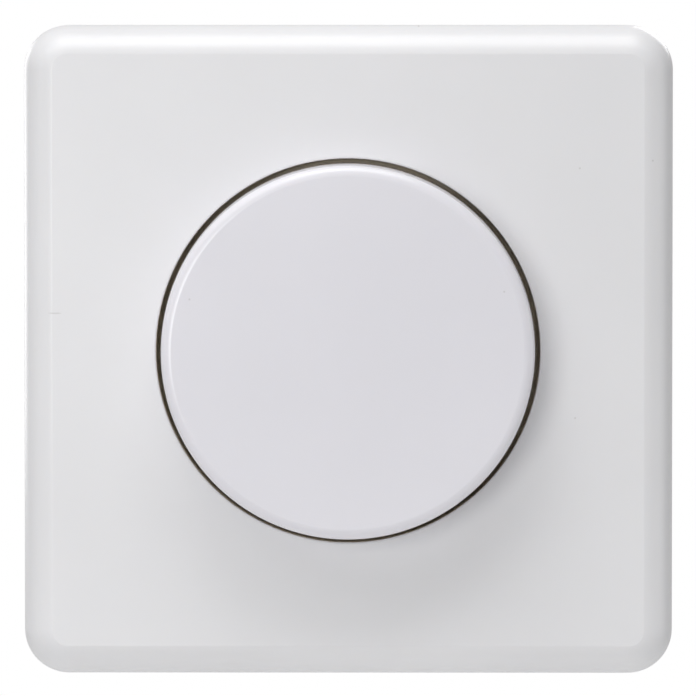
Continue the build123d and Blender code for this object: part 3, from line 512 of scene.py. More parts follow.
def turned(name, colour, roughness, thread=None):
    """Metal turned about the knob's axis: tool rings that follow the radius and the height, and faint wear.
    A thread is (pitch, back, front, least radius) in metres: a triangle wave of height / pitch - turns."""
    paint = Paint(name)
    where = paint.place()
    x, y, z = paint.axes(where)
    radius = (x * x + z * z) ** 0.5
    lathe = paint.node("ShaderNodeCombineXYZ", {"X": radius, "Y": y, "Z": 0.0})
    rings = paint.noise(lathe, 5200.0, 3.0)
    wear = paint.noise(where, 420.0, 3.0)
    dark = tuple(c * 0.72 for c in colour[:3]) + (1.0,)
    normal = paint.bump(rings, 0.000012, 0.5)
    if thread:
        pitch, back, front, least = thread
        climb = y * (-1.0 / pitch) - z.math("ARCTAN2", x) * (0.5 / math.pi)
        wave = climb.math("PINGPONG", 0.5) * 2.0
        cut = (-y).ramp(back, back + 0.0003) * (-y).ramp(front, front - 0.0003)
        cut = cut * radius.ramp(least, least + 0.0001)
        normal = paint.bump(wave * cut, pitch * 0.45, 1.0, normal)
    return paint.set(
        Base_Color=paint.mix(wear.ramp(0.35, 0.75), colour, dark),
        Roughness=roughness + (rings - 0.5) * 0.16 + (wear - 0.5) * 0.12,
        Metallic=1.0,
        Normal=normal,
    )


def pressed_metal(name, colour, roughness, grain=900.0):
    """Strip metal, stamped and bent: short rolling lines along the strip, and soft stains between brighter
    spots."""
    paint = Paint(name)
    where = paint.place()
    rolled = paint.noise(paint.place((1.0, 1.0, 0.06)), grain * 3.0, 4.0)
    stain = paint.noise(where, grain * 0.5, 3.0)
    dull = tuple(c * 0.74 for c in colour[:3]) + (1.0,)
    return paint.set(
        Base_Color=paint.mix(stain.ramp(0.40, 0.72), colour, dull),
        Roughness=roughness + (rolled - 0.5) * 0.18 + (stain - 0.5) * 0.16,
        Metallic=1.0,
        Normal=paint.bump(rolled, 0.000008, 0.5),
    )


dress(turned("turned_brass", (0.72, 0.53, 0.25, 1.0), 0.26, BUSH_THREAD), "threaded_bush")
dress(turned("turned_steel", (0.55, 0.56, 0.58, 1.0), 0.24), "shaft")
dress(turned("nickel_plate", (0.66, 0.62, 0.54, 1.0), 0.22), "fixing_nut")
dress(pressed_metal("spring_steel", (0.40, 0.41, 0.44, 1.0), 0.28), "shaft_clip")


# Support ring and rivets
# Stamped from zinc-coated steel sheet, with a raised centre. Four countersunk rivets, spread flat behind,
# hold the housing to it.


def galvanised(name, colour, roughness):
    """Hot-dipped zinc on steel: crystals a few millimetres across, each with its own grey and gloss, under
    faint rolling lines and the white dust of old zinc."""
    paint = Paint(name)
    where = paint.place()
    wander = paint.noise(where, 260.0, 2.0)
    crystal = paint.axes(paint.cells(where, 330.0, "Color"))[0]
    edges = paint.cells(where, 330.0, "Distance")
    rolled = paint.noise(paint.place((0.05, 1.0, 1.0)), 2600.0, 4.0)
    bloom = paint.noise(where, 900.0, 5.0, 0.65).ramp(0.56, 0.78)
    dark = tuple(c * 0.80 for c in colour[:3]) + (1.0,)
    metal = paint.mix(crystal * 0.8 + wander * 0.2, dark, colour)
    return paint.set(
        Base_Color=paint.mix(bloom * 0.30, metal, (0.62, 0.62, 0.61, 1.0)),
        Roughness=roughness + (crystal - 0.5) * 0.16 + bloom * 0.22 + (rolled - 0.5) * 0.10,
        Metallic=1.0 - bloom * 0.35,
        Normal=paint.bump(rolled * 0.5 + edges * 0.5, 0.00001, 0.45),
    )


zinc_sheet = galvanised("galvanised_sheet", (0.60, 0.61, 0.62, 1.0), 0.36)
dress(zinc_sheet, "support_ring")
rivet_aluminium = pressed_metal("rivet_aluminium", (0.66, 0.67, 0.68, 1.0), 0.32, 1400.0)
dress(rivet_aluminium, *(f"ring_rivet_{number}" for number in (1, 2, 3, 4)))


# Housing and rear cover
# Two mouldings in anthracite plastic, spark-eroded to a fine matt texture. The cover snaps into the
# housing's windows and carries the wire entries and the vents.


def moulded_dark(name, colour, roughness, texture=2600.0, depth=0.000022):
    """Matt moulded plastic: an even spark-eroded grain, slow clouds of gloss, a few pale scuffs and dust."""
    paint = Paint(name)
    where = paint.place()
    grain = paint.noise(where, texture, 3.0, 0.6)
    clouds = paint.noise(where, 60.0, 2.0)
    scuff = paint.noise(paint.place((0.12, 1.0, 1.0)), 900.0, 4.0).ramp(0.66, 0.80)
    dust = paint.noise(where, 1500.0, 4.0, 0.7).ramp(0.60, 0.85)
    pale = tuple(min(c * 1.5 + 0.05, 1.0) for c in colour[:3]) + (1.0,)
    marked = paint.mix(scuff * 0.35 + dust * 0.18, colour, pale)
    shade = tuple(c * 0.86 for c in colour[:3]) + (1.0,)
    return paint.set(
        Base_Color=paint.mix(clouds.ramp(0.3, 0.7) * 0.5, marked, shade),
        Roughness=roughness + (clouds - 0.5) * 0.10 + scuff * 0.10,
        Normal=paint.bump(grain, depth, 0.6),
        IOR=1.50,
    )


anthracite = moulded_dark("anthracite_plastic", (0.050, 0.051, 0.055, 1.0), 0.46)
dress(anthracite, "housing", "rear_cover")


# Claws
# Bent and toothed from the same zinc-coated strip as the ring. Each one turns on the ring's ears when its
# screw draws the tab forwards, and the toothed leg bites into the wall box.

dress(galvanised("galvanised_strip", (0.64, 0.65, 0.65, 1.0), 0.32), "claw_left", "claw_right")


# Claw screws
# Cold-headed steel with a rolled thread and a straight slot, zinc-plated and passivated. The head rests on
# the support ring, and turning it pulls the claw's tab along the thread.

SCREW_PLACE = 24.6
SCREW_END = -15.0
SCREW_PITCH = 0.6
SCREW_ROOT = 1.36
SCREW_CREST = 1.70
HEAD_RADIUS = 2.8
HEAD_BACK = 1.05
HEAD_FRONT = 2.45
HEAD_EDGE = 0.25
HEAD_EDGE_MIDDLE = 0.07
HALF_MIDDLE = 1.4
SLOT_HALF = 0.4
SLOT_FLOOR = 1.65
SLOT_WALL_POINTS = 7
HEAD_ARC_POINTS = 25
SCREW_STEPS = 32
SHANK_ROWS = 241
RUN_IN = 0.4
RUN_OUT = 1.2
TIP = 0.4
TIP_CUT = 0.25

screw_turn = np.linspace(0, 2 * np.pi, SCREW_STEPS, endpoint=False)
screw_ring = np.stack([np.cos(screw_turn), np.sin(screw_turn)], axis=-1)


def threaded_shank(start, end, rows):
    """Loops from start to end in height. The radius goes from root to crest as a triangle wave of
    height / pitch - angle / 360, and narrows to the root at both ends. The normals follow its slope."""
    height = np.linspace(start, end, rows)[:, None]
    climb = height / SCREW_PITCH - screw_turn[None] / (2 * np.pi)
    wave = np.abs(2 * (climb - np.floor(climb)) - 1)
    taper = np.clip((height - end) / RUN_OUT, 0, 1) * np.clip((start - height) / RUN_IN, 0, 1)
    crest = np.clip(1.35 * wave - 0.1, 0, 1)
    radius = SCREW_ROOT + (SCREW_CREST - SCREW_ROOT) * crest * taper
    radius = radius - TIP_CUT * np.clip((end + TIP - height) / TIP, 0, 1)
    x, z = screw_ring.T
    places = np.stack([radius * x, np.broadcast_to(-height, radius.shape), radius * z], axis=-1)
    along = np.gradient(radius, axis=0) / np.gradient(height[:, 0])[:, None]
    normal = np.stack([x + 0 * along, along, z + 0 * along], axis=-1)
    return places, normal / np.linalg.norm(normal, axis=-1)[..., None]


def half_head(side):
    """One side of the slotted head: an arc closed by the slot's wall, raised to a round-edged front."""
    first = math.asin(SLOT_HALF / HEAD_RADIUS) + 0.01
    angle = np.linspace(first, math.pi - first, HEAD_ARC_POINTS)
    arc = np.stack([np.cos(angle), np.sin(angle)], axis=-1)
    reach = HEAD_RADIUS * math.cos(first) - 0.02
    wall = np.linspace((-reach, SLOT_HALF), (reach, SLOT_HALF), SLOT_WALL_POINTS)
    plan = np.concatenate([arc * HEAD_RADIUS, wall])
    facing = np.concatenate([arc, np.tile((0.0, -1.0), (SLOT_WALL_POINTS, 1))])
    rows = [(0.0, SLOT_FLOOR - 0.1, 0), (0.0, HEAD_FRONT - HEAD_EDGE, 0)]
    rows += [(-HEAD_EDGE_MIDDLE, HEAD_FRONT - HEAD_EDGE_MIDDLE, 45), (-HEAD_EDGE, HEAD_FRONT, 90)]
    steps = np.array(rows)
    plans = plan[None] + steps[:, 0, None, None] * facing[None]
    plans = np.concatenate([plans, plan[None] * 0.02 + (0.0, HALF_MIDDLE)])
    places, normals = stack(plans, [*steps[:, 1], HEAD_FRONT], facing, [*steps[:, 2], 90])
    return places * (1, 1, side), normals * (1, 1, side), skin(places, closed=False)[:, ::side]


def whole_screw(place):
    """The disc under the slot with the shank behind it, and the two halves of the head, at the screw's x."""
    rows = [(PINCH, SLOT_FLOOR, 90), (HEAD_RADIUS - 0.02, SLOT_FLOOR, 90)]
    rows += [(HEAD_RADIUS, SLOT_FLOOR - 0.02, 0), (HEAD_RADIUS, HEAD_BACK + SMALL_EDGE, 0)]
    rows += [(HEAD_RADIUS - SMALL_EDGE, HEAD_BACK, -90), (SCREW_ROOT + 0.1, HEAD_BACK, -90)]
    section = np.array(rows)
    disc_places, disc_normals = stack(
        section[:, 0, None, None] * screw_ring[None], section[:, 1], screw_ring, section[:, 2]
    )
    shank_places, shank_normals = threaded_shank(HEAD_BACK, SCREW_END, SHANK_ROWS)
    tip = shank_places[-1:] * (0.01, 1, 0.01)
    places = np.concatenate([disc_places, shank_places, tip])
    normals = np.concatenate([disc_normals, shank_normals, np.broadcast_to((0.0, 1.0, 0.0), tip.shape)])
    shells = [(places, normals, skin(places, closed=False)[:, ::-1]), half_head(1), half_head(-1)]
    return [(p + (place, 0, 0), n, f) for p, n, f in shells]


screw_zinc = pressed_metal("zinc_passivated", (0.68, 0.68, 0.64, 1.0), 0.27, 1300.0)
for node, place in (("claw_screw_left", -SCREW_PLACE), ("claw_screw_right", SCREW_PLACE)):
    screw = piece(f"{node}_threaded", whole_screw(place), screw_zinc, node, [node])


# Potentiometer
# A moulded cup with a carbon track on brown laminate. The shaft's flatted tail turns a nylon rotor, whose
# bronze wiper runs on the track, and three tinned pins go down to the board.

TRACK_RADII = (0.0030, 0.0051)


def laminate_track(name):
    """Brown paper laminate with a black carbon ring, a band of the radius that is open towards the lug."""
    paint = Paint(name)
    where = paint.place()
    x, _, z = paint.axes(where)
    radius = (x * x + z * z) ** 0.5
    turned_by = (-z).math("ARCTAN2", -x)
    gap = turned_by.math("ABSOLUTE").ramp(2.45, 2.35)
    inner, outer = TRACK_RADII
    ring_mask = radius.ramp(inner, inner + 0.0001) * radius.ramp(outer, outer - 0.0001) * gap
    fibres = paint.noise(where, 2400.0, 4.0)
    board_tone = paint.mix(fibres, (0.24, 0.13, 0.06, 1.0), (0.34, 0.20, 0.10, 1.0))
    return paint.set(
        Base_Color=paint.mix(ring_mask, board_tone, (0.025, 0.025, 0.026, 1.0)),
        Roughness=0.5 - ring_mask * 0.12 + (fibres - 0.5) * 0.1,
        Normal=paint.bump(fibres * 0.4 + ring_mask, 0.00002, 0.4),
    )


dress(laminate_track("carbon_track"), "pot_track")
black_moulding = moulded_dark("black_moulding", (0.028, 0.028, 0.030, 1.0), 0.42, 3200.0, 0.000012)
dress(black_moulding, "pot_case", "switch_case")
nylon = moulded_dark("natural_nylon", (0.66, 0.63, 0.55, 1.0), 0.40, 2200.0, 0.000010)
dress(nylon, "pot_rotor", "switch_plunger")
bronze = pressed_metal("bronze_strip", (0.66, 0.42, 0.22, 1.0), 0.25, 1500.0)
dress(bronze, "pot_wiper", "contact_bridge", "switch_contact_left", "switch_contact_right")
tinned_copper = pressed_metal("tinned_copper", (0.68, 0.68, 0.67, 1.0), 0.30, 1800.0)
dress(tinned_copper, "pot_pin_left", "pot_pin_middle", "pot_pin_right", "fuse_clip_lower", "fuse_clip_upper")


# Push switch spring
# Coiled from thin spring steel wire between the case's floor and the plunger. It shortens when the knob is
# pushed in.

SPRING_RADIUS = 2.15
SPRING_WIRE = 0.2
SPRING_LOW = -15.0
SPRING_HIGH = -12.2
SPRING_TURNS = 3
SPRING_STEPS = 48


def wire_along(path, across_wire, radius, sides=10):
    """A round wire: at each point of the path, a circle in the plane of across_wire and of its cross product
    with the path's direction. Each end closes in a point."""
    along = np.gradient(path, axis=0)
    along /= np.linalg.norm(along, axis=1)[:, None]
    first = across_wire - (across_wire * along).sum(1)[:, None] * along
    first /= np.linalg.norm(first, axis=1)[:, None]
    second = np.cross(along, first)
    angle = np.linspace(0, 2 * np.pi, sides, endpoint=False)[None, :, None]
    outward = np.cos(angle) * first[:, None] + np.sin(angle) * second[:, None]
    places = path[:, None] + radius * outward
    places = np.concatenate([places[:1] * 0 + path[:1, None], places, places[-1:] * 0 + path[-1:, None]])
    normals = np.concatenate([outward[:1] * 0 - along[0], outward, outward[-1:] * 0 + along[-1]])
    return places, normals, skin(places, closed=False)


coil_turn = np.linspace(0, 2 * np.pi * SPRING_TURNS, SPRING_STEPS * SPRING_TURNS + 1)
coil_share = coil_turn / coil_turn[-1]
coil_out = np.stack([np.cos(coil_turn), 0 * coil_turn, np.sin(coil_turn)], axis=-1)
coil_path = SPRING_RADIUS * coil_out
coil_path[:, 1] = -(SPRING_LOW + (SPRING_HIGH - SPRING_LOW) * coil_share)

wire = Paint("spring_wire")
drawn = wire.noise(wire.place(), 5000.0, 3.0)
spring_steel = wire.set(
    Base_Color=wire.mix(drawn, (0.36, 0.37, 0.40, 1.0), (0.50, 0.51, 0.53, 1.0)),
    Roughness=0.24 + drawn * 0.12,
    Metallic=1.0,
    Normal=wire.bump(drawn, 0.000004, 0.4),
)
coil = wire_along(coil_path, coil_out, SPRING_WIRE)
spring = piece("switch_spring_coil", [coil], spring_steel, "base", ["switch_spring"])
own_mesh(spring)


# Circuit board
# Glass laminate with green solder resist. It follows the housing's outline, stands on the cover's posts
# and is cut off straight below for the terminals.

BOARD_REAR = -0.0176


def solder_resist(name):
    """Green resist over copper, with a weave of fine squares under it. A track is where the distance to a
    line, bent by whole steps, is under half its width. The cut edge shows bare glass."""
    paint = Paint(name)
    where = paint.place()
    x, y, z = paint.axes(where)
    weave = ((x * 5200.0).math("SINE") * (z * 5200.0).math("SINE")).math("ABSOLUTE")
    step = (z * 130.0).math("ROUND") * 0.0011
    lane = (x + step).math("PINGPONG", 0.0021)
    cross = (z + (x * 95.0).math("ROUND") * 0.0016).math("PINGPONG", 0.0046)
    tracks = lane.ramp(0.00062, 0.00052).math("MAXIMUM", cross.ramp(0.00052, 0.00042))
    rear = (y + BOARD_REAR).ramp(-0.0002, -0.0001)
    copper = tracks * (0.35 + rear * 0.65)
    cloud = paint.noise(where, 180.0, 2.0)
    resist = paint.mix(copper, (0.020, 0.105, 0.045, 1.0), (0.055, 0.220, 0.090, 1.0))
    resist = paint.mix(cloud.ramp(0.4, 0.7) * 0.25, resist, (0.015, 0.08, 0.035, 1.0))
    faces = rear.math("MAXIMUM", (y + BOARD_REAR).ramp(-0.0014, -0.0015))
    return paint.set(
        Base_Color=paint.mix(faces, (0.52, 0.50, 0.30, 1.0), resist),
        Roughness=0.30 + (1 - faces) * 0.35 + (cloud - 0.5) * 0.08,
        Normal=paint.bump(copper + weave * 0.12, 0.000035, 0.6),
    )


dress(solder_resist("green_board"), "circuit_board")


# Solder joints
# Solder drawn up round every wire, pin and tag behind the board, with the tip of the wire standing out of
# each.

JOINT_FOOT = 0.78
JOINT_NECK = 0.40
JOINT_END = -18.2
TERMINAL_TAGS = [(x, -10.6) for x in (-10, 0, 10)]
TRIAC_LEADS = [(x, -9.3) for x in (-2.54, 0, 2.54)]
POT_PINS = [(x, 9) for x in (-2.5, 0, 2.5)]
RESISTOR_LEADS = [(x, z) for x in (-7.85, 7.85) for z in (-6.6, 3.6)]
DIAC_LEADS = [(7.85, z) for z in (5.2, 12.8)]
SWITCH_CONTACTS = [(x, 0) for x in (-4.2, 4.2)]
CHOKE_LEADS = [(x, 13.551) for x in (-3.334, 3.334)]
SMALL_CAPACITOR_LEADS = [(x, 17.24) for x in (-11.95, -9.45)]
CAPACITOR_LEADS = [(-13.25, z) for z in (-3.01, 12.05)]
FUSE_CLIPS = [(13.25, z) for z in (-4.5, 10.5)]

joint_centres = TERMINAL_TAGS + TRIAC_LEADS + POT_PINS + RESISTOR_LEADS + DIAC_LEADS + SWITCH_CONTACTS
joint_centres += CHOKE_LEADS + SMALL_CAPACITOR_LEADS + CAPACITOR_LEADS + FUSE_CLIPS
drawn_up = bend(JOINT_FOOT, JOINT_END + 0.05, JOINT_FOOT - JOINT_NECK, 90, 180, 7, hollow=True)
joint_tip = [(JOINT_NECK - 0.06, JOINT_END - 0.06, -50), (PINCH, JOINT_END - 0.1, -90)]
joint_section = np.concatenate([drawn_up, joint_tip])
joint_turn = np.linspace(0, 2 * np.pi, 20, endpoint=False)
joint_ring = np.stack([np.cos(joint_turn), np.sin(joint_turn)], axis=-1)
joint_plans = joint_section[:, 0, None, None] * joint_ring[None]
joint_places, joint_normals = stack(joint_plans, joint_section[:, 1], joint_ring, joint_section[:, 2])
joint_faces = skin(joint_places, closed=False)[:, ::-1]

solder = pressed_metal("solder_tin", (0.66, 0.66, 0.66, 1.0), 0.20, 1600.0)
joint_shells = [(joint_places + (x, 0, z), joint_normals, joint_faces) for x, z in joint_centres]
joints = piece("solder_joints", joint_shells, solder, "base")


# Triac
# Black epoxy moulded on a tinned copper tab, which is staked to the housing's front wall, with three flat
# leads down to the board.

TRIAC_TAB = -0.0013
TRIAC_TOP = -0.0106


def epoxy_on_tab(name):
    """Dark epoxy behind the tab and below the leads, and tinned metal elsewhere."""
    paint = Paint(name)
    where = paint.place()
    _, y, z = paint.axes(where)
    behind_tab = (-y).ramp(TRIAC_TAB + 0.00003, TRIAC_TAB - 0.00003)
    body = behind_tab * z.ramp(TRIAC_TOP + 0.00003, TRIAC_TOP - 0.00003)
    grain = paint.noise(where, 2600.0, 4.0)
    tin = paint.mix(grain, (0.52, 0.52, 0.51, 1.0), (0.70, 0.70, 0.69, 1.0))
    return paint.set(
        Base_Color=paint.mix(body, tin, (0.020, 0.020, 0.021, 1.0)),
        Roughness=0.30 + body * 0.20 + (grain - 0.5) * 0.12,
        Metallic=1.0 - body,
        Normal=paint.bump(grain, 0.000012, 0.5),
    )


dress(epoxy_on_tab("epoxy_and_tin"), "triac")


# Choke
# A powder ring core, painted yellow, wound with one layer of enamelled copper wire. Both ends of the wire go
# straight down through the board.

CHOKE_Z = 16.885
CORE_OUTER = 6.115
CORE_HOLE = 3.315
CORE_HEIGHTS = (-15.3, -8.7)
CHOKE_WIRE = 0.34
CHOKE_TURNS = 24
CHOKE_STEPS = 44
CHOKE_SWEEP = (-84, 264)
CHOKE_LEAD = 3.334
LEAD_END = -18.6
LEAD_RADIUS = 0.35
SQUARENESS = 0.25


def wound_path(turns, steps):
    """The middle line of the wire: once round the core's section for each turn, as a rounded rectangle
    (|cos|^s, |sin|^s) with s its squareness, while the section goes evenly round the core. Also its
    direction round the core."""
    count = np.arange(turns * steps + 1)
    phase = 2 * np.pi * count / steps
    reach_half = (CORE_OUTER - CORE_HOLE) / 2 + CHOKE_WIRE
    rise_half = (CORE_HEIGHTS[1] - CORE_HEIGHTS[0]) / 2 + CHOKE_WIRE
    across_core, along_core = (np.sign(w) * np.abs(w) ** SQUARENESS for w in (np.cos(phase), np.sin(phase)))
    reach = (CORE_OUTER + CORE_HOLE) / 2 + reach_half * across_core
    height = sum(CORE_HEIGHTS) / 2 + rise_half * along_core
    swing = np.radians(CHOKE_SWEEP[0] + (CHOKE_SWEEP[1] - CHOKE_SWEEP[0]) * count / count[-1])
    path = np.stack([reach * np.cos(swing), -height, CHOKE_Z + reach * np.sin(swing)], axis=-1)
    return path, np.stack([-np.sin(swing), 0 * swing, np.cos(swing)], axis=-1)


def straight(x, z, low, high):
    """A straight wire in the open part from one height to another."""
    path = np.stack([np.full(6, x), -np.linspace(low, high, 6), np.full(6, z)], axis=-1)
    return wire_along(path, np.tile((1.0, 0.0, 0.0), (6, 1)), LEAD_RADIUS)


core = Paint("painted_core")
core_where = core.place(centre=(0.0, 0.012, CHOKE_Z * MM))
lumps = core.noise(core_where, 1500.0, 3.0)
rubbed = core.noise(core_where, 700.0, 4.0).ramp(0.62, 0.72)
dress(
    core.set(
        Base_Color=core.mix(rubbed, (0.68, 0.52, 0.10, 1.0), (0.20, 0.18, 0.15, 1.0)),
        Roughness=0.42 + (lumps - 0.5) * 0.2,
        Normal=core.bump(lumps, 0.00005, 0.5),
    ),
    "choke_core",
)

enamel = Paint("enamelled_copper")
length_lines = enamel.noise(enamel.place(), 1200.0, 2.0)
copper_wire = enamel.set(
    Base_Color=enamel.mix(length_lines, (0.46, 0.16, 0.06, 1.0), (0.66, 0.27, 0.10, 1.0)),
    Roughness=0.20 + length_lines * 0.12,
    Metallic=1.0,
    Coat_Weight=0.6,
    Coat_Roughness=0.08,
    Normal=enamel.bump(length_lines, 0.000008, 0.3),
)
choke_path, choke_across = wound_path(CHOKE_TURNS, CHOKE_STEPS)
choke_shells = [wire_along(choke_path, choke_across, CHOKE_WIRE, 8)]
lead_z = CHOKE_Z - CHOKE_LEAD
choke_shells += [straight(x, lead_z, LEAD_END, CORE_HEIGHTS[0] - 0.2) for x in (-CHOKE_LEAD, CHOKE_LEAD)]
choke = piece("choke_winding_turns", choke_shells, copper_wire, "base", ["choke_winding"])


# Capacitors, resistors and diac
# Film capacitors potted in plastic boxes, and small round parts lacquered over ceramic, each on tinned
# copper wires bent down into the board.

BOARD_FRONT = -0.016
SMALL_PARTS_X = 7.85
RESISTOR_MIDDLE = -1.5
RESISTOR_LENGTH = 6.3
DIAC_MIDDLE = 9.0
DIAC_LENGTH = 4.2
BAND_PLACES = (-2.1, -1.1, -0.1, 2.0)
TINNED_WIRE = (0.66, 0.66, 0.65, 1.0)
BROWN = (0.10, 0.035, 0.012, 1.0)
RED = (0.50, 0.03, 0.02, 1.0)
YELLOW = (0.75, 0.52, 0.03, 1.0)
GOLD = (0.52, 0.36, 0.10, 1.0)
BLACK = (0.015, 0.015, 0.016, 1.0)
TAN = (0.58, 0.44, 0.28, 1.0)
BLUE = (0.06, 0.16, 0.38, 1.0)


def potted_box(name, colour):
    """A finely textured, coloured box in front of the board, and tinned wires behind the board's front."""
    paint = Paint(name)
    where = paint.place()
    y = paint.axes(where)[1]
    body = (-y).ramp(BOARD_FRONT - 0.00002, BOARD_FRONT + 0.00002)
    grain = paint.noise(where, 2400.0, 3.0)
    shade = tuple(c * 0.85 for c in colour[:3]) + (1.0,)
    box_tone = paint.mix(grain.ramp(0.3, 0.7), colour, shade)
    return paint.set(
        Base_Color=paint.mix(body, TINNED_WIRE, box_tone),
        Roughness=0.28 + body * 0.06 + (grain - 0.5) * 0.08,
        Metallic=1.0 - body,
        Normal=paint.bump(grain, 0.000012, 0.5),
        Coat_Weight=body * 0.25,
    )


def lacquered(name, colour, x, middle, length, bands):
    """A lacquered body lying along z between two wires. Each band is (place along z, its colour), where the
    distance from that place is under 0.28 mm."""
    paint = Paint(name)
    where = paint.place(centre=(x * MM, 0.0, middle * MM))
    _, y, z = paint.axes(where)
    half = length / 2 * MM
    body = z.math("ABSOLUTE").ramp(half + 0.00003, half - 0.00003)
    swirl = paint.noise(where, 1300.0, 2.0)
    tone = paint.mix(swirl, colour, tuple(c * 0.86 for c in colour[:3]) + (1.0,))
    for place, band in bands:
        near = (z - place * MM).math("ABSOLUTE").ramp(0.00031, 0.00025)
        tone = paint.mix(near, tone, band)
    return paint.set(
        Base_Color=paint.mix(body, TINNED_WIRE, tone),
        Roughness=0.26 + (swirl - 0.5) * 0.1,
        Metallic=1.0 - body,
        Normal=paint.bump(swirl, 0.00003, 0.35),
        Coat_Weight=body * 0.5,
    )


dress(potted_box("yellow_box", (0.74, 0.50, 0.07, 1.0)), "capacitor")
dress(potted_box("red_box", (0.40, 0.05, 0.035, 1.0)), "small_capacitor")
codes = {"left": (BROWN, BLACK, RED, GOLD), "right": (YELLOW, BROWN, BROWN, GOLD)}
for (side, code), x in zip(codes.items(), (-SMALL_PARTS_X, SMALL_PARTS_X)):
    bands = list(zip(BAND_PLACES, code))
    resistor = lacquered(f"tan_resistor_{side}", TAN, x, RESISTOR_MIDDLE, RESISTOR_LENGTH, bands)
    dress(resistor, f"resistor_{side}")
dress(lacquered("blue_diac", BLUE, SMALL_PARTS_X, DIAC_MIDDLE, DIAC_LENGTH, [(0.0, BLACK)]), "diac")


# Fuse
# A clear glass tube with a nickel-plated cap pressed on each end. Two sprung clips on the board hold it, so
# that it can be changed.

glass = Paint("fuse_glass")
haze = glass.noise(glass.place(), 900.0, 3.0)
dress(
    glass.set(
        Base_Color=(0.97, 0.98, 0.98, 1.0),
        Roughness=0.02 + haze * 0.05,
        IOR=1.47,
        Transmission_Weight=1.0,
        Normal=glass.bump(haze, 0.00001, 0.2),
    ),
    "fuse_tube",
)
dress(pressed_metal("nickel_cap", (0.64, 0.61, 0.56, 1.0), 0.18, 1200.0), "fuse_cap_lower", "fuse_cap_upper")


# Terminals
# Each cage is folded from nickel-plated brass strip and soldered to the board by its tag. The zinc-plated
# screw is reached through the housing's lower wall.

TERMINALS = ("left", "middle", "right")
cage_plate = pressed_metal("nickel_on_brass", (0.62, 0.57, 0.46, 1.0), 0.28, 1100.0)
dress(cage_plate, *(f"terminal_cage_{name}" for name in TERMINALS))
dress(screw_zinc, *(f"terminal_screw_{name}" for name in TERMINALS))


# Floor, light and camera
# A pale floor well below the dimmer, which fades out towards its rim and is clear from below. Soft light
# comes from above, from the upper left and from beside the camera, weak light from close round the plate
# for its border, and light from behind for the back. The view is the photograph's, nearly straight ahead.

FLOOR = -0.12
FLOOR_RADIUS = 0.42
FLOOR_FADE = 0.16
FLOOR_STEPS = 96
AMBIENT = 0.24
REFLECTED = 0.55
VIEW_WIDTH = 0.08684
VIEW_SHIFT = -0.0009
DISTANCE = 0.70
ELEVATION = math.radians(2.0)
AZIMUTH = math.radians(0.4)

floor_turn = np.linspace(0, 2 * np.pi, FLOOR_STEPS, endpoint=False)
floor_rim = [(FLOOR_RADIUS * math.cos(t), FLOOR_RADIUS * math.sin(t), FLOOR) for t in floor_turn]
floor_mesh = bpy.data.meshes.new("floor")
floor_mesh.from_pydata(floor_rim, [], [tuple(range(FLOOR_STEPS))])
floor = bpy.data.objects.new("floor", floor_mesh)
bpy.context.collection.objects.link(floor)
floor_paint = Paint("floor_paint")
floor_x, floor_y, _ = floor_paint.axes(floor_paint.place())
away = (floor_x * floor_x + floor_y * floor_y) ** 0.5
clear = floor_paint.node("ShaderNodeBsdfTransparent", {})
pale = Value(floor_paint.tree, floor_paint.shader.outputs[0])
from_below = floor_paint.node("ShaderNodeNewGeometry", {}, "Backfacing")
faded = away.ramp(FLOOR_FADE, FLOOR_RADIUS - 0.01).math("MAXIMUM", from_below)
blended = floor_paint.node("ShaderNodeMixShader", {0: faded, 1: pale, 2: clear})
feed(floor_paint.tree, floor_paint.tree.nodes["Material Output"].inputs["Surface"], blended)
floor_mesh.materials.append(floor_paint.set(Base_Color=(0.82, 0.82, 0.82, 1.0), Roughness=0.7))

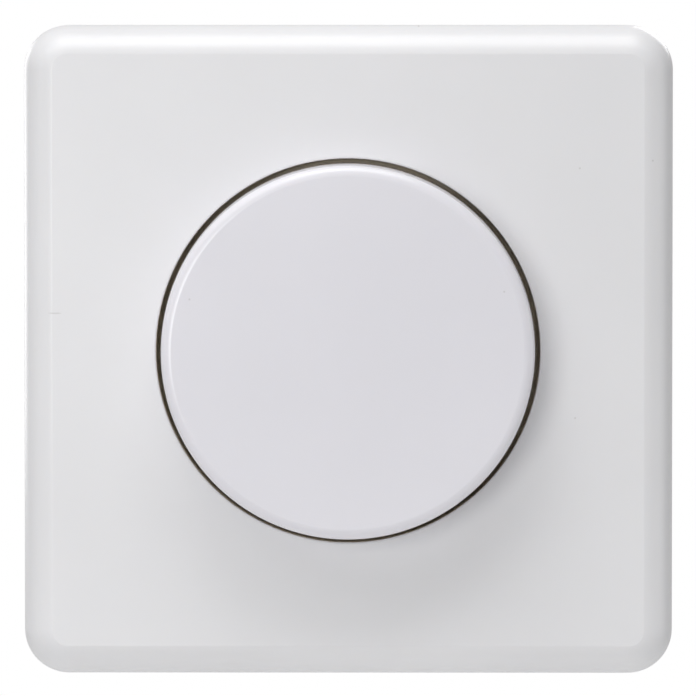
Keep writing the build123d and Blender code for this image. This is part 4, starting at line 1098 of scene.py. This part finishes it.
world = bpy.data.worlds.new("studio")
world.use_nodes = True
bpy.context.scene.world = world
background = world.node_tree.nodes["Background"]
rays = world.node_tree.nodes.new("ShaderNodeLightPath")
seen = Value(world.node_tree, rays.outputs["Is Camera Ray"])
mirrored = Value(world.node_tree, rays.outputs["Is Glossy Ray"])
through = Value(world.node_tree, rays.outputs["Is Transmission Ray"])
strength = seen.math("MAXIMUM", through) * (1.0 - AMBIENT) + mirrored * (REFLECTED - AMBIENT) + AMBIENT
feed(world.node_tree, background.inputs["Strength"], strength)
background.inputs["Color"].default_value = (1.0, 1.0, 1.0, 1.0)


def lamp(name, place, size, watts):
    """A soft light at place, turned to the dimmer, with its width and height as size."""
    light = bpy.data.lights.new(name, "AREA")
    light.shape = "RECTANGLE"
    light.size, light.size_y = size
    light.energy = watts
    made = bpy.data.objects.new(name, light)
    made.location = place
    made.rotation_euler = (-Vector(place)).to_track_quat("-Z", "Y").to_euler()
    bpy.context.collection.objects.link(made)


lamp("above", (0.0, -0.18, 0.50), (0.36, 0.36), 1.37)
lamp("upper_left", (-0.25, -0.31, 0.49), (0.42, 0.42), 1.19)
lamp("beside_camera", (-0.25, -0.70, 0.05), (0.25, 0.25), 1.31)
lamp("front", (0.0, -0.90, 0.10), (0.50, 0.50), 0.073)
lamp("left", (-0.20, -0.10, 0.02), (0.14, 0.14), 0.014)
lamp("right", (0.26, -0.04, 0.0), (0.14, 0.14), 0.067)
lamp("below", (0.0, -0.035, -0.112), (0.16, 0.02), 0.004)
lamp("behind_left", (0.30, 0.60, 0.35), (0.35, 0.35), 1.4)
lamp("behind_right", (-0.40, 0.50, 0.10), (0.30, 0.30), 0.7)

camera = bpy.data.cameras.new("camera")
camera.lens = camera.sensor_width * DISTANCE / VIEW_WIDTH
camera.shift_x = VIEW_SHIFT
viewer = bpy.data.objects.new("camera", camera)
viewer.location = (
    DISTANCE * math.sin(AZIMUTH) * math.cos(ELEVATION),
    -DISTANCE * math.cos(AZIMUTH) * math.cos(ELEVATION),
    DISTANCE * math.sin(ELEVATION),
)
viewer.rotation_euler = (-viewer.location).to_track_quat("-Z", "Y").to_euler()
bpy.context.collection.objects.link(viewer)
bpy.context.scene.camera = viewer
bpy.context.scene.view_settings.view_transform = "Standard"
